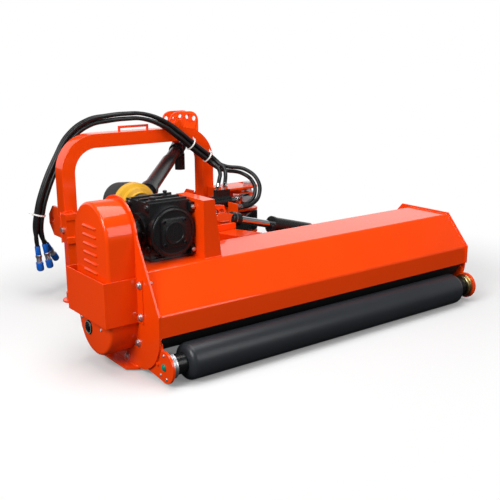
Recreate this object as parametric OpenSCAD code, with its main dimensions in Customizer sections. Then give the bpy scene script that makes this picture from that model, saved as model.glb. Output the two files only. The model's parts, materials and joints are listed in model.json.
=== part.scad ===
// Offset flail mower for a tractor's three-point linkage, in millimetres.
// X runs along the deck, +Y points at the tractor, +Z is up and the ground is z = 0.
// Lengths below are measured from the middle of the deck and from the roller's axis;
// placed() then puts the origin under the middle of the whole machine.

/* [Deck] */
// Clear width between the two end plates
deck_w = 1660; // [1560:10:1800]
// Height of the flat top panel above the ground
deck_h = 390; // [380:1:400]
// Rear face of the lip, ahead of the roller's axis
lip_y = 14; // [8:1:20]
// Lower edge of the lip above the ground
lip_z = 172; // [166:1:180]
// Height of the lip
lip_h = 80; // [60:1:100]
// Horizontal run of the sloped rear panel
slope_run = 120; // [100:1:140]
// Depth of the flat top panel
top_depth = 230; // [220:1:245]
// Horizontal run of the front panel
nose_run = 142; // [132:1:152]
// Drop of the front panel below the top
nose_drop = 99; // [90:1:105]
// Height of the upright front apron
apron_h = 75; // [66:1:85]
// Thickness of the deck sheet
shell_t = 4; // [3:0.5:6]
// Thickness of the end plates
plate_t = 8; // [6:0.5:10]
// Rim of the right end plate outside the deck sheet
plate_edge = 8; // [4:1:12]
// Length of the right end plate's top past the front fold
plate_brow = 57; // [40:1:70]

/* [Roller] */
// Radius of the rear roller
roller_r = 70; // [60:1:75]
// Space between the left end plate and the roller's body
roller_gap_left = 80; // [75:1:130]
// Space between the right end plate and the roller's body
roller_gap_right = 90; // [85:1:120]
// Radius of the roller's shaft
roller_shaft_r = 15; // [12:0.5:18]

/* [Rotor] */
// Rotor axis ahead of the roller's axis
rotor_y = 300; // [295:1:305]
// Rotor axis above the ground
rotor_z = 187; // [183:1:195]
// Radius of the rotor tube
rotor_r = 57; // [50:1:60]
// Wall of the rotor tube
rotor_wall = 8; // [6:1:10]
// Radius of the rotor's stub shafts
rotor_stub_r = 20; // [16:0.5:24]
// Flails in each of the three rows
flails_per_row = 8; // [6:1:8]
// Length of a flail from its bolt
flail_l = 80; // [70:1:84]
// Width of a flail along the rotor
flail_w = 42; // [36:1:44]
// Height of the flail bolts above the rotor tube
flail_rise = 25; // [23:1:30]
// Radius of a flail bolt
flail_bolt_r = 8; // [6:0.5:9]

/* [Belt drive] */
// Height of the drive pulley above the deck's top
gear_rise = 110; // [104:1:120]
// Outer radius of the belt cover's round ends
cover_r = 133; // [128:1:136]
// Depth of the belt cover
cover_depth = 109; // [104:1:120]
// Sheet of the belt cover
cover_t = 3; // [2:0.5:4]
// Radius of the pulleys at the bottom of their grooves
groove_r = 54; // [48:1:60]
// Number of belts
belts = 3; // [2:1:3]
// Distance from one belt to the next
belt_pitch = 19; // [17:0.5:20]
// Number of louvres in the belt cover
louvres = 6; // [4:1:6]
// Distance from one louvre to the next
louvre_pitch = 33; // [30:1:35]

/* [Gearbox] */
// Gearbox axis to the right of the left end plate
gearbox_inset = 175; // [165:1:185]
// Radius of the gearbox's rear disc
disc_r = 97; // [90:1:100]
// Rear face of the disc ahead of the roller's axis
disc_y = 200; // [196:1:205]
// Input shaft above the cross shaft
input_rise = 60; // [56:1:64]
// Radius of the input shaft
input_r = 17; // [15:0.5:19]
// Radius of the cross shaft
cross_r = 16; // [14:0.5:18]
// Height of the gearbox tower above the deck
tower_h = 225; // [215:1:235]

/* [Hitch frame] */
// Left edge of the hitch frame, left of the deck's middle
frame_left = 673; // [660:1:690]
// Outer width of the hitch frame
frame_w = 844; // [834:1:860]
// Width of the frame tube as seen from behind
tube_w = 66; // [60:1:72]
// Depth of the frame tube
tube_d = 80; // [70:1:90]
// Wall of the frame tube
tube_wall = 5; // [4:0.5:8]
// Top of the frame above the ground
frame_top = 778; // [770:1:800]
// Outer radius of the frame's bends
bend_r = 180; // [160:1:190]
// Lower edge of the cross beam above the ground
beam_z = 290; // [280:1:296]
// Height of the cross beam
beam_h = 105; // [100:1:115]
// Radius of the top link holes
top_hole_r = 12.75; // [9.75:0.25:16]
// Radius of the lower link holes
link_hole_r = 14.25; // [11:0.25:18]
// Clear space between two lower link plates
link_gap = 60; // [50:1:66]

/* [Parking stand] */
// Side of the stand's square leg
leg_w = 45; // [40:1:48]
// Wall of the sleeve that holds the leg
sleeve_t = 6; // [5:0.5:8]
// Length of the sleeve
sleeve_h = 140; // [120:1:150]
// Radius of the stand's foot
foot_r = 52; // [45:1:60]

/* [Side shift] */
// Head's pivot ahead of the deck's front
head_ahead = 114; // [110:1:120]
// Upright pivot, right of the hitch frame's edge
pivot_out = 151; // [144:1:159]
// Upright pivot behind the frame's rear face
pivot_back = 100; // [97:1:105]
// Sideways distance from the upright pivot back to the head's pivot
arm_run = 537; // [530:1:545]
// Distance towards the deck from the upright pivot to the head's pivot
arm_reach = 430; // [425:1:435]
// Distance between the arm's pivot and the tie link's pivot
link_pitch = 130; // [126:1:136]
// Lower face of the arm above the ground
arm_z = 230; // [226:1:232]
// Height of the arm
arm_h = 100; // [96:1:103]
// Width of the arm
arm_w = 64; // [56:1:70]
// Radius of the upright pivot shaft
pivot_r = 20; // [16:0.5:22]
// Radius of the other upright pins
pin_r = 16; // [13:0.5:18]
// Shift angle of the arm, half of it each side
shift_angle = 75; // [60:1:75]

/* [Tilt] */
// Tilt axis, right of the head's pivot
tilt_right = 45; // [40:1:50]
// Tilt axis below the deck's top
tilt_drop = 50; // [46:1:54]
// Rod pin above the tilt axis
lug_rise = 90; // [86:1:94]
// Cylinder's foot pin to the right of the tilt axis
barrel_run = 600; // [590:1:610]
// Cylinder's foot pin below the tilt axis
barrel_drop = 68; // [64:1:72]
// Radius of the tilt cylinder's barrel
barrel_r = 38; // [34:1:40]
// Radius of the tilt cylinder's rod
tilt_rod_r = 18; // [15:0.5:20]
// Radius of the tilt pin
tilt_pin_r = 20; // [16:0.5:24]

/* [Offset cylinder] */
// Cylinder axis behind the upright pivot
offset_back = 95; // [92:1:98]
// Cylinder axis above the ground
offset_z = 415; // [412:1:418]
// Radius of the offset cylinder's barrel
offset_r = 33; // [28:1:34]
// Radius of the offset cylinder's rod
offset_rod_r = 16; // [13:0.5:18]

/* [Drive shaft] */
// Radius of the outer guard tube
guard_tube_r = 33; // [32:0.5:34]
// Radius of the inner guard tube
inner_tube_r = 28; // [26:0.5:28]

/* [Hoses] */
// Radius of a hydraulic hose
hose_r = 10; // [8:0.5:10]
// Sides of a hose's tube
hose_sides = 10; // [8:1:12]

/* [Hidden] */
$fn = 48;
orange = "#EE4A12";
black = "#1D1E20";
zinc = "#C9CCD0";
chrome = "#E2E5E8";
steel = "#8C9096";
roller_grey = "#33373B";
yellow = "#E8BE3A";
blue = "#0F62C8";
green = "#0E8A70";
white = "#EFEFEF";

// Fits and cuts that every piece shares
overrun = 5;
running_gap = 0.06;
seat_gap = 0.3;

// Deck outline and end plates
left_x = -deck_w / 2;
left_out = left_x - plate_t;
right_x = deck_w / 2;
right_out = right_x + plate_t;
lip_top = lip_z + lip_h;
ridge_y = lip_y + slope_run;
brow_y = ridge_y + top_depth;
nose_y = brow_y + nose_run;
nose_z = deck_h - nose_drop;
apron_z = nose_z - apron_h;
deck_path = [
    [lip_y, lip_z], [lip_y, lip_top], [ridge_y, deck_h],
    [brow_y, deck_h], [nose_y, nose_z], [nose_y, apron_z]
];
skid_t = 8;
skid_out = 40;
skid_in = 17;
skid_corner = 30;
sole_z = 15;
sole_front = 400;
toe_rise = 95;
toe_y = nose_y - shell_t;
lobe_r = 160;
skid_rear = lip_y + lobe_r;
plate_rim = 13;
plate_top_r = cover_r + plate_rim;
plate_rear_angle = 129;
shaft_pass_r = 34;
skirt_t = 5;
skirt_edge = 12;
skirt_top = 215;
skirt_hem = [66, 110];

// Roller and its bearings
bracket_t = 10;
bracket_disc_r = 60;
bracket_tail = [[20, 150], [120, 190], [200, 170], [215, 100], [140, 26], [0, 12]];
bracket_bolt = [164, 116];
skid_bolt = [253, 38];
hub_r = 47;
hub_rim_r = 52;
hub_rim_t = 8;
hub_l = 24;
roller_end_gap = 2;
roller_neck_r = 38;
roller_chamfer = 25;
roller_end_r = 50;
shaft_end_gap = 1;
roller_shaft_short = bracket_t + shaft_end_gap;
cap_r = 13;
cap_top_r = 9;
cap_t = 4;

// Bolts
bolt_r = 8;
bolt_head_r = 13;
bolt_head_h = 9;
washer_r = 15;
washer_t = 3;
bolt_gap = 0.2;
screw_head_r = 6;
screw_head_h = 4;
bracket_screw_r = 44;
bracket_screw_angles = [90, 250, 305];
cover_screw_spots = [[105, -12], [-55, -22]];

// Belt cover, belt guard and pulleys
pulley_z = deck_h + gear_rise;
pulley_rise = pulley_z - rotor_z;
cover_x = left_out - cover_depth;
louvre_r = 6;
louvre_l = 105;
louvre_top = 42;
slit_h = 3;
plug_r = 28;
plug_ahead = 49;
plug_below = 39;
plug_t = 5;
guard_t = 4;
guard_stand_off = 22;
guard_gap_rear = 9;
guard_gap_front = 28;
guard_flange = 40;
guard_flange_front = 24;
guard_lift = 11;
guard_z = rotor_z + guard_lift;
guard_h = 168;
guard_bolt_edge = 24;
guard_rear = rotor_y - cover_r - guard_gap_rear;
guard_front = rotor_y + cover_r + guard_gap_front;
guard_x = cover_x - guard_stand_off;
guard_bolt_y = guard_rear - guard_t - guard_flange / 2;
belt_w = 13;
belt_t = 10;
belt_gap = 0.4;
groove_w = 15;
rim_rise = 8;
pulley_face = 24;
pulley_w = belts * belt_pitch;
pulley_x = cover_x + pulley_face;

// Rotor and flails
rotor_inset = 45;
rotor_half = deck_w / 2 - rotor_inset;
bearing_r = 58;
bearing_t = 24;
flail_circle = rotor_r + flail_rise;
flail_pitch = 2 * rotor_half / flails_per_row;
row_angles = [180, 60, -60];
row_count = len(row_angles);
ear_t = 8;
ear_gap = 1;
ear_r = 15;
flail_eye_r = 14;
flail_neck = 14;
flail_foot = 28;
flail_flare_share = 0.7;
flail_foot_share = 0.8;
bolt_end = 6;

// Front flaps
flap_count = 14;
flap_gap = 4;
flap_edge = 25;
flap_t = 5;
flap_l = 150;
flap_rod_r = 7;
flap_drop = 14;
flap_eye_r = 11;
flap_y = nose_y - shell_t / 2;
flap_z = apron_z - flap_drop;

// Gearbox
gear_x = left_x + gearbox_inset;
gear_z = pulley_z;
input_z = gear_z + input_rise;
case_half = 86;
disc_overlap = 4;
disc_t = 26;
case_y = disc_y + disc_t - disc_overlap;
case_front = 400;
case_below = 82;
case_above = 112;
case_wall = 12;
neck_r = 52;
neck_end = 452;
cross_tube_r = 46;
cross_flange_r = 62;
cross_flange_t = 12;
collar_w = 16;
collar_r = 68;
rib_t = 10;
rib_h = 8;
rib_places = [245, 300, 355];
cover_plate_half = 55;
cover_plate_t = 10;
cover_boss_r = 42;
cover_boss_t = 6;
cover_screw_inset = 11;
plug_big_r = 14;
plug_big_h = 16;
plug_small_r = 9;
plug_small_h = 24;
gear_gap = 0.4;
gear_r = input_rise / 2 - gear_gap;
gear_y = 232;
gear_w = 18;
bevel_clear = 1;
bevel_far = input_rise - input_r - bevel_clear;
bevel_near = 26;
bevel_gap = 0.6;
mid_r = 12.5;
mid_inset = 6;
mid_start = disc_y + mid_inset;

// Gearbox tower
tower_gap = 3;
tower_x = gear_x + disc_r + tower_gap;
tower_t = 8;
tower_setback = 11;
tower_y = ridge_y + tower_setback;
tower_depth = 195;
tower_foot_w = 78;
tower_top_w = 50;
tower_top = deck_h + tower_h;
ear_w = 36;
ear_places_y = [225, 318];
ear_below = 80;
ear_above = 85;
ear_places_z = [gear_z - ear_below, gear_z + ear_above];
slot_w = 46;
slot_h = 14;
slot_y = 262;
slot_drop = 24;
tower_bolt_r = 6;
tower_head_r = 10;
tower_head_h = 7;

// Input shield
shield_t = 4;
shield_path = [[neck_r, 0], [neck_r, 14], [68, 20], [68, 36], [84, 46], [84, 74]];
shield_y = 438;
cuff_t = 3;
cuff_path = [[84, 50], [84, 110], [72, 192]];
stub_end = 600;

// Hitch frame, set ahead by the swing arm
head_y = nose_y + head_ahead;
pivot_y = head_y + arm_reach;
frame_y = pivot_y + pivot_back;
frame_l = -frame_left;
frame_r = frame_l + frame_w;
frame_front = frame_y + tube_d;
frame_mid_y = frame_y + tube_d / 2;
beam_top = beam_z + beam_h;
link_plate_t = 12;
link_plate_l = 110;
link_plate_rise = 40;
link_hole_ahead = 62;
link_hole_rise = 75;
link_hole_y = frame_front + link_hole_ahead;
link_hole_z = beam_z + link_hole_rise;
link_nose = 22;
top_plate_t = 10;
top_plate_half = 84;
top_plate_h = 80;
top_plate_drop = 40;
top_plate_inset = 173;
top_plate_x = frame_r - top_plate_inset;
top_corner_share = 0.35;
top_holes = 4;
top_arc_r = 150;
top_arc_step = 16;
top_hole_rise = 56;
top_hole_z = frame_top + top_hole_rise;

// Parking stand
stand_inset = 8;
stand_x = frame_l + stand_inset;
stand_gap = 0.4;
sleeve_half = leg_w / 2 + stand_gap + sleeve_t;
stand_y = frame_y - sleeve_half;
sleeve_z = 285;
sleeve_band = 30;
sleeve_band_t = 5;
leg_wall = 4;
leg_proud = 5;
leg_top = sleeve_z + sleeve_h + leg_proud;
foot_t = 8;
foot_collar_r = 34;
foot_collar_h = 36;
clamp_rise = 62;
clamp_z = sleeve_z + clamp_rise;
clamp_r = 8;
clamp_head_r = 13;
clamp_head_h = 14;

// Side shift
pivot_x = frame_r + pivot_out;
head_x = pivot_x - arm_run;
tie_x = pivot_x - link_pitch;
head_tie_x = head_x - link_pitch;
arm_len = norm([arm_run, arm_reach]);
arm_angle = atan2(-arm_reach, -arm_run);
arm_hub_r = 50;
arm_end_r = 36;
tie_w = 44;
tie_h = 60;
tie_end_r = 32;
tie_z = arm_z + (arm_h - tie_h) / 2;
bracket_gap = 5;
bracket_plate_t = 12;
bracket_low = arm_z - bracket_gap;
bracket_mid = arm_z + arm_h + bracket_gap;
bracket_head = 38;
bracket_top = offset_z + bracket_head;
bracket_lap = 41;
bracket_left = frame_r - bracket_lap;
bracket_nose_r = 50;
back_t = 12;
back_right = pivot_x + bracket_nose_r;
gusset_w = 12;
gusset_l = 88;
tab_out = 35;
tab_x = bracket_left - tab_out;
tab_t = 6;
tab_w = 40;
tab_back = 218;
tab_front = pivot_y - tab_back;
tab_h = 85;
tab_l = 80;
nut_r = 28;
nut_h = 16;
lever_t = 30;
lever_w = 54;
lever_hub_r = 36;
lever_half = shift_angle / 2;
lever_nose = 30;
lever_tip = offset_back / cos(lever_half) + lever_nose;
yoke_pin_r = 12;
yoke_slack = 5.5;
yoke_slot_half = yoke_pin_r + yoke_slack;

// Offset cylinder
offset_y = pivot_y - offset_back;
offset_pin_x = pivot_x - offset_back * tan(lever_half);
offset_head_left = 192;
offset_head = pivot_x - offset_head_left;
offset_foot_left = 652;
offset_foot_x = pivot_x - offset_foot_left;
offset_base_left = 604;
offset_base = pivot_x - offset_base_left;
offset_wall = 7;
offset_cap = 12;
offset_tail_left = 412;
offset_rod_tail = pivot_x - offset_tail_left;
piston_w = 30;
foot_eye_r = 24;
foot_eye_h = 38;
foot_pin_r = 12;
anchor_w = 80;
anchor_wall = 10;
anchor_root = 40;
anchor_nose = 32;
jaw_t = 12;
jaw_w = 50;
jaw_gap = 3;
jaw_nose = 22;
jaw_root = 62;
port_left = [62, 22];
port_x = [for (d = port_left) offset_head - d];
port_block_w = 30;
port_block_h = 30;
port_block_edge = 20;

// Tilt joint and cylinder
tilt_x = head_x + tilt_right;
tilt_z = deck_h - tilt_drop;
block_half = 60;
block_back = 65;
block_y = head_y - block_back;
block_rim = 12;
block_top = tilt_z + tilt_pin_r + block_rim;
block_bore = 60;
tilt_pin_tip = 55;
barrel_x = tilt_x + barrel_run;
barrel_z = tilt_z - barrel_drop;
lug_z = tilt_z + lug_rise;
cyl_back = 8;
cyl_y = head_y - cyl_back;
cyl_l = norm([barrel_run, barrel_drop + lug_rise]);
cyl_angle = atan2(-barrel_run, barrel_drop + lug_rise);
foot_block_half = 40;
foot_block_back = 35;
foot_block_y = head_y - foot_block_back;
foot_block_inset = 3;
tilt_foot_r = 14;
tilt_foot_ahead = 35;
tilt_foot_tip = head_y + tilt_foot_ahead;
tilt_eye_r = 27;
tilt_eye_w = 44;
barrel_start = 62;
barrel_end = 310;
barrel_wall = 8;
gland_l = 14;
gland_rim = 3;
gland_r = barrel_r + gland_rim;
rod_tail = 420;
rod_pin_r = 12;
collar_from = 72;
collar_to = 117;
rod_collar_r = 30;
fork_t = 8;
fork_gap = 1.5;
fork_w = 44;
fork_root = 56;
fork_root_t = 16;
tilt_up = 70;
tilt_down = -30;
slide_per_degree = -1.48;
float_steps = 10;
float_slack = 3;

// Head
head_gap = 5;
head_t = 20;
head_plate_t = 12;
head_back = block_y + head_gap;
head_edge = 45;
wall_edge = 60;
head_front = head_y + head_edge;
head_left = head_tie_x - head_edge;
head_right = head_x + head_edge;
wall_right = tilt_x + wall_edge;
wall_top = tilt_z + wall_edge;
lug_t = 16;
lug_foot = bracket_mid + head_plate_t - lug_z;
lug_outline = [[-58, lug_foot], [5, lug_foot], [40, -10], [40, 10], [28, 48], [-40, 58], [-58, 35]];

// Drive shaft
pto_low = [145, 75, -228];
pto_high = [-141, 25, -102];
pto_a = [gear_x, stub_end, frame_top] + pto_low;
pto_b = [frame_r, frame_front, frame_top] + pto_high;
pto_l = norm(pto_b - pto_a);
pto_u = (pto_b - pto_a) / pto_l;
pto_polar = acos(pto_u[2]);
pto_azimuth = atan2(pto_u[1], pto_u[0]);
ring_s = (frame_mid_y - pto_a[1]) / pto_u[1];
ring_at = pto_a + ring_s * pto_u;
yoke_r = 30;
yoke_l = 62;
yoke_slot = 26;
yoke_slot_l = 34;
bell_r = 41;
bell_l = 36;
guard_end = 520;
inner_start = 330;
collar_l = 24;
collar_rim_r = 33;
fork_l = 50;
fork_start = pto_l - fork_l;
collar_start = fork_start - collar_l;
guard_wall = guard_tube_r - inner_tube_r - seat_gap;
ring_r = 36;
ring_w = 22;
stem_r = 8;
boss_r = 20;
boss_h = 10;
stem_short = 3;
fork_ear = 10;
fork_half = 32;
fork_ear_r = 20;
cross_pin_r = 9;
end_eye_r = 17;
end_eye_half = 21;
end_shank_r = 26;
end_shank_top = 42;
end_shank_l = 84;
end_bore_r = 17.45;

// Hose guide on the frame
guide_left = 520;
guide_l = 155;
guide_h = 20;
guide_wire = 6;

// Hoses: a trunk of four, chosen point by point, then each hose's own two ends.
// The points were drawn for a frame and a cylinder in these places and move with them
drawn_w = 844;
drawn_frame = [-673, 1150, 778];
drawn_port = [130, 955, 415];
hose_gap = 12;
drawn_trunk = [
    [-755, 1282, 335], [-745, 1280, 400], [-720, 1276, 490], [-635, 1270, 665],
    [-565, 1268, 765], [-480, 1240, 825], [-400, 1205, 842], [-310, 1190, 848],
    [-215, 1180, 842], [-130, 1136, 805], [-70, 1104, 755], [0, 1094, 697],
    [86, 1077, 629], [100, 1074, 618], [122, 1064, 598]
];
drawn_starts = [
    [[-770, 1270, 252], [-773, 1270, 292]], [[-734, 1270, 258], [-741, 1270, 296]],
    [[-756, 1306, 244], [-759, 1304, 286]], [[-706, 1316, 246], [-734, 1298, 288]]
];
drawn_ends = [
    [[130, 1030, 594], [134, 996, 572], [122, 969, 544], [108, 955, 508]],
    [[112, 1026, 580], [102, 988, 552], [82, 966, 530], [68, 955, 506]],
    [
        [168, 1050, 580], [256, 975, 559], [286, 914, 506], [264, 876, 442],
        [208, 854, 407], [164, 850, 398], [136, 850, 398]
    ],
    [
        [160, 1058, 560], [256, 1008, 536], [278, 946, 496], [258, 905, 444],
        [210, 886, 409], [164, 884, 398], [136, 884, 398]
    ]
];
function by_frame(route) = [
    for (p = route)
        let (d = p - drawn_frame)
            [frame_l + d[0] * frame_w / drawn_w, frame_y + d[1], frame_top + d[2]]
];
function by_port(route) = [for (p = route) [offset_head, offset_y, offset_z] + p - drawn_port];
trunk = by_frame(drawn_trunk);
hose_starts = [for (route = drawn_starts) by_frame(route)];
hose_ends = [for (route = drawn_ends) by_port(route)];
// How many points of the trunk each hose follows
trunk_points = [14, 14, 15, 15];
hose_corners = [[1, -1], [-1, -1], [1, 1], [-1, 1]];
port_hoses = [0, 1];
tab_hoses = [2, 3];
tie_points = [1, 11, 12];
tie_band_r = 29.9;
tie_band_t = 2;
tie_band_w = 7;
coupler_r = 13;
sleeve_l = 44;
coupler_l = 38;
coupler_rim_r = 15;
coupler_rim_l = 12;
dust_cap_l = 42;
dust_cap_r = 17;
fitting_r = 12;
fitting_nut_r = 15;
fitting_nut_l = 16;
ferrule_l = 20;

// Whole machine, without the hoses
x_min = guard_x - guard_t;
x_max = right_out + skid_out;
y_min = -roller_r;
y_max = frame_front + link_plate_l;
mid_x = (x_min + x_max) / 2;
mid_y = (y_min + y_max) / 2;

function unit(v) = v / norm(v);
function right_of(d) = [d[1], -d[0]];
function side_before(p, i) = right_of(unit(p[max(i, 1)] - p[max(i, 1) - 1]));
function side_after(p, i) = right_of(unit(p[min(i, len(p) - 2) + 1] - p[min(i, len(p) - 2)]));
function shifted(p, t) = [
    for (i = [0:len(p) - 1])
        let (a = side_before(p, i), b = side_after(p, i)) p[i] + t * (a + b) / (1 + a * b)
];
function reversed(p) = [for (i = [len(p) - 1:-1:0]) p[i]];
// Closed outline of a sheet of thickness t that follows an open path, on its right-hand side
function strip(p, t) = concat(p, reversed(shifted(p, t)));

module placed() translate([-mid_x, -mid_y, 0]) children();
module block(a, b) translate(a) cube(b - a);
module rod_x(r, x0, x1, y, z) translate([x0, y, z]) rotate([0, 90, 0]) cylinder(r = r, h = x1 - x0);
module rod_y(r, y0, y1, x, z) translate([x, y0, z]) rotate([-90, 0, 0]) cylinder(r = r, h = y1 - y0);
module rod_z(r, z0, z1, x, y) translate([x, y, z0]) cylinder(r = r, h = z1 - z0);
module hex_x(r, x0, x1, y, z) translate([x0, y, z]) rotate([0, 90, 0]) cylinder(r = r, h = x1 - x0, $fn = 6);
// Extrude an outline drawn in Y and Z along X, one in X and Z along Y, one in X and Y along Z
module along_x(x0, x1) translate([x0, 0, 0]) rotate([90, 0, 90]) linear_extrude(x1 - x0) children();
module along_y(y0, y1) translate([0, y1, 0]) rotate([90, 0, 0]) linear_extrude(y1 - y0) children();
module along_z(z0, z1) translate([0, 0, z0]) linear_extrude(z1 - z0) children();
module both_ends() {
    children();
    mirror([1, 0, 0]) children();
}

module deck_shell() {
    color(orange) placed() along_x(left_x, right_x) polygon(strip(deck_path, shell_t));
}

module rear_skirt() {
    path = [[lip_y + shell_t, skirt_top], [lip_y + shell_t, lip_z], skirt_hem];
    color(black) placed() along_x(left_x + skirt_edge, right_x - skirt_edge) polygon(strip(path, -skirt_t));
}

// Lower half of an end plate, down to its skid
module plate_foot(rear) {
    polygon([
        [rear, lip_top], [rear, sole_z + lobe_r], [rear + lobe_r, sole_z], [sole_front, sole_z],
        [toe_y, sole_z + toe_rise], [nose_y + plate_edge, apron_z], [nose_y + plate_edge, nose_z]
    ]);
    translate([rear + lobe_r, sole_z + lobe_r]) circle(lobe_r);
}

// Runner under the left end plate, with its outer rear corner cut off
module skid() {
    path = [[skid_rear, sole_z], [sole_front, sole_z], [toe_y, sole_z + toe_rise]];
    out = left_out - skid_out;
    difference() {
        along_x(out, left_x + skid_in) polygon(strip(path, skid_t));
        along_z(sole_z - skid_t - overrun, sole_z + overrun)
            polygon([[left_out, skid_rear - overrun], [left_out, skid_rear], [out, skid_rear + skid_corner],
                     [out - overrun, skid_rear + skid_corner], [out - overrun, skid_rear - overrun]]);
    }
}

module plate_holes(x0, x1) {
    for (spot = [bracket_bolt, skid_bolt]) rod_x(bolt_r + bolt_gap, x0, x1, spot[0], spot[1]);
}

module left_end_plate() {
    rear_point = plate_top_r * [cos(plate_rear_angle), sin(plate_rear_angle)];
    color(orange) placed() {
        difference() {
            along_x(left_out, left_x) {
                plate_foot(lip_y);
                translate([rotor_y, pulley_z]) circle(plate_top_r);
                polygon([
                    [lip_y, lip_top], [rotor_y + rear_point[0], pulley_z + rear_point[1]],
                    [rotor_y + plate_top_r, pulley_z], [nose_y + plate_edge, nose_z]
                ]);
            }
            for (z = [rotor_z, pulley_z])
                rod_x(shaft_pass_r, left_out - overrun, left_x + overrun, rotor_y, z);
            plate_holes(left_out - overrun, left_x + overrun);
            for (z = [guard_z + guard_bolt_edge, guard_z + guard_h - guard_bolt_edge])
                rod_x(bolt_r + bolt_gap, left_out - overrun, left_x + overrun, guard_bolt_y, z);
        }
        skid();
    }
}

module right_end_plate() {
    e = plate_edge;
    rim = [
        [lip_y - e, sole_z + lobe_r], [lip_y - e, lip_top + e / 2], [ridge_y - e / 2, deck_h + e],
        [brow_y + plate_brow, deck_h + e], [nose_y + e, nose_z + e / 2], [nose_y + e, apron_z]
    ];
    color(orange) placed() {
        difference() {
            along_x(right_x, right_out) {
                plate_foot(lip_y);
                polygon(rim);
            }
            plate_holes(right_x - overrun, right_out + overrun);
        }
        mirror([1, 0, 0]) skid();
    }
}

module roller_brackets() {
    color(orange) placed() both_ends() difference() {
        along_x(left_x, left_x + bracket_t) {
            translate([0, roller_r]) circle(bracket_disc_r);
            polygon(bracket_tail);
        }
        plate_holes(left_x - overrun, left_x + bracket_t + overrun);
    }
}

module roller_hubs() {
    x0 = left_x + bracket_t;
    color(zinc) placed() both_ends() difference() {
        union() {
            rod_x(hub_r, x0, x0 + hub_l, 0, roller_r);
            rod_x(hub_rim_r, x0, x0 + hub_rim_t, 0, roller_r);
        }
        rod_x(roller_shaft_r + running_gap, x0 - overrun, x0 + hub_l + overrun, 0, roller_r);
    }
}

module roller_caps() {
    color(green) placed() both_ends() {
        rod_x(cap_r, left_x - cap_t, left_x, 0, roller_r);
        rod_x(cap_top_r, left_x - 2 * cap_t, left_x - cap_t, 0, roller_r);
    }
}

module roller() {
    body_l = left_x + roller_gap_left;
    body_r = right_x - roller_gap_right;
    neck = bracket_t + hub_l + roller_end_gap;
    outline = [
        [0, body_l], [roller_end_r, body_l], [roller_r, body_l + roller_chamfer],
        [roller_r, body_r - roller_chamfer], [roller_end_r, body_r], [0, body_r]
    ];
    color(roller_grey) placed() {
        translate([0, 0, roller_r]) rotate([0, 90, 0]) rotate_extrude() polygon(outline);
        rod_x(roller_neck_r, left_x + neck, body_l + overrun, 0, roller_r);
        rod_x(roller_neck_r, body_r - overrun, right_x - neck, 0, roller_r);
        rod_x(roller_shaft_r, left_x + roller_shaft_short, right_x - roller_shaft_short, 0, roller_r);
    }
}

// Outline with two round ends, about the rotor and the drive pulley
module obround(r) {
    for (z = [rotor_z, pulley_z]) translate([rotor_y, z]) circle(r);
    translate([rotor_y - r, rotor_z]) square([2 * r, pulley_rise]);
}

module belt_cover() {
    first = pulley_z + louvre_top;
    color(orange) placed() difference() {
        union() {
            along_x(cover_x, left_out) obround(cover_r);
            for (i = [0:louvres - 1])
                rod_y(louvre_r, rotor_y - louvre_l / 2, rotor_y + louvre_l / 2,
                      cover_x, first - i * louvre_pitch);
        }
        along_x(cover_x + cover_t, left_out + overrun) obround(cover_r - cover_t);
        for (i = [0:louvres - 1]) {
            z = first - i * louvre_pitch - louvre_r;
            block([cover_x - louvre_r - overrun, rotor_y - louvre_l / 2, z - slit_h],
                  [cover_x + cover_t + overrun, rotor_y + louvre_l / 2, z]);
        }
        rod_x(plug_r + bolt_gap, cover_x - overrun, cover_x + cover_t + overrun,
              rotor_y + plug_ahead, rotor_z - plug_below);
    }
}

module belt_guard() {
    path = [
        [left_out, guard_rear - guard_flange], [left_out, guard_rear], [guard_x, guard_rear],
        [guard_x, guard_front], [left_out, guard_front], [left_out, guard_front + guard_flange_front]
    ];
    color(orange) placed() difference() {
        along_z(guard_z, guard_z + guard_h) polygon(strip(path, -guard_t));
        for (z = [guard_z + guard_bolt_edge, guard_z + guard_h - guard_bolt_edge])
            rod_x(bolt_r + bolt_gap, left_out - guard_t - overrun, left_out + overrun, guard_bolt_y, z);
    }
}

module cover_plug() {
    y = rotor_y + plug_ahead;
    z = rotor_z - plug_below;
    color(black) placed() {
        rod_x(plug_r, cover_x - plug_t, cover_x + cover_t, y, z);
        rod_x(plug_r / 2, cover_x - 2 * plug_t, cover_x - plug_t, y, z);
    }
}

// Bolt along X through the left end: head outside at x0, nut on the inner face x1
module through_bolt(x0, x1, y, z) {
    rod_x(bolt_r, x0, x1 + bolt_head_h, y, z);
    rod_x(washer_r, x0 - washer_t, x0, y, z);
    hex_x(bolt_head_r, x0 - washer_t - bolt_head_h, x0 - washer_t, y, z);
    hex_x(bolt_head_r, x1, x1 + bolt_head_h, y, z);
}

module deck_bolts() {
    color(zinc) placed() {
        both_ends() {
            through_bolt(left_out, left_x + bracket_t, bracket_bolt[0], bracket_bolt[1]);
            through_bolt(left_out, left_x, skid_bolt[0], skid_bolt[1]);
            for (a = bracket_screw_angles)
                rod_x(screw_head_r, left_x - screw_head_h, left_x,
                      bracket_screw_r * cos(a), roller_r + bracket_screw_r * sin(a));
        }
        for (z = [guard_z + guard_bolt_edge, guard_z + guard_h - guard_bolt_edge])
            through_bolt(left_out - guard_t, left_x, guard_bolt_y, z);
        for (spot = cover_screw_spots)
            rod_x(screw_head_r, cover_x - screw_head_h, cover_x, rotor_y + spot[0], rotor_z + spot[1]);
    }
}

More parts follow.
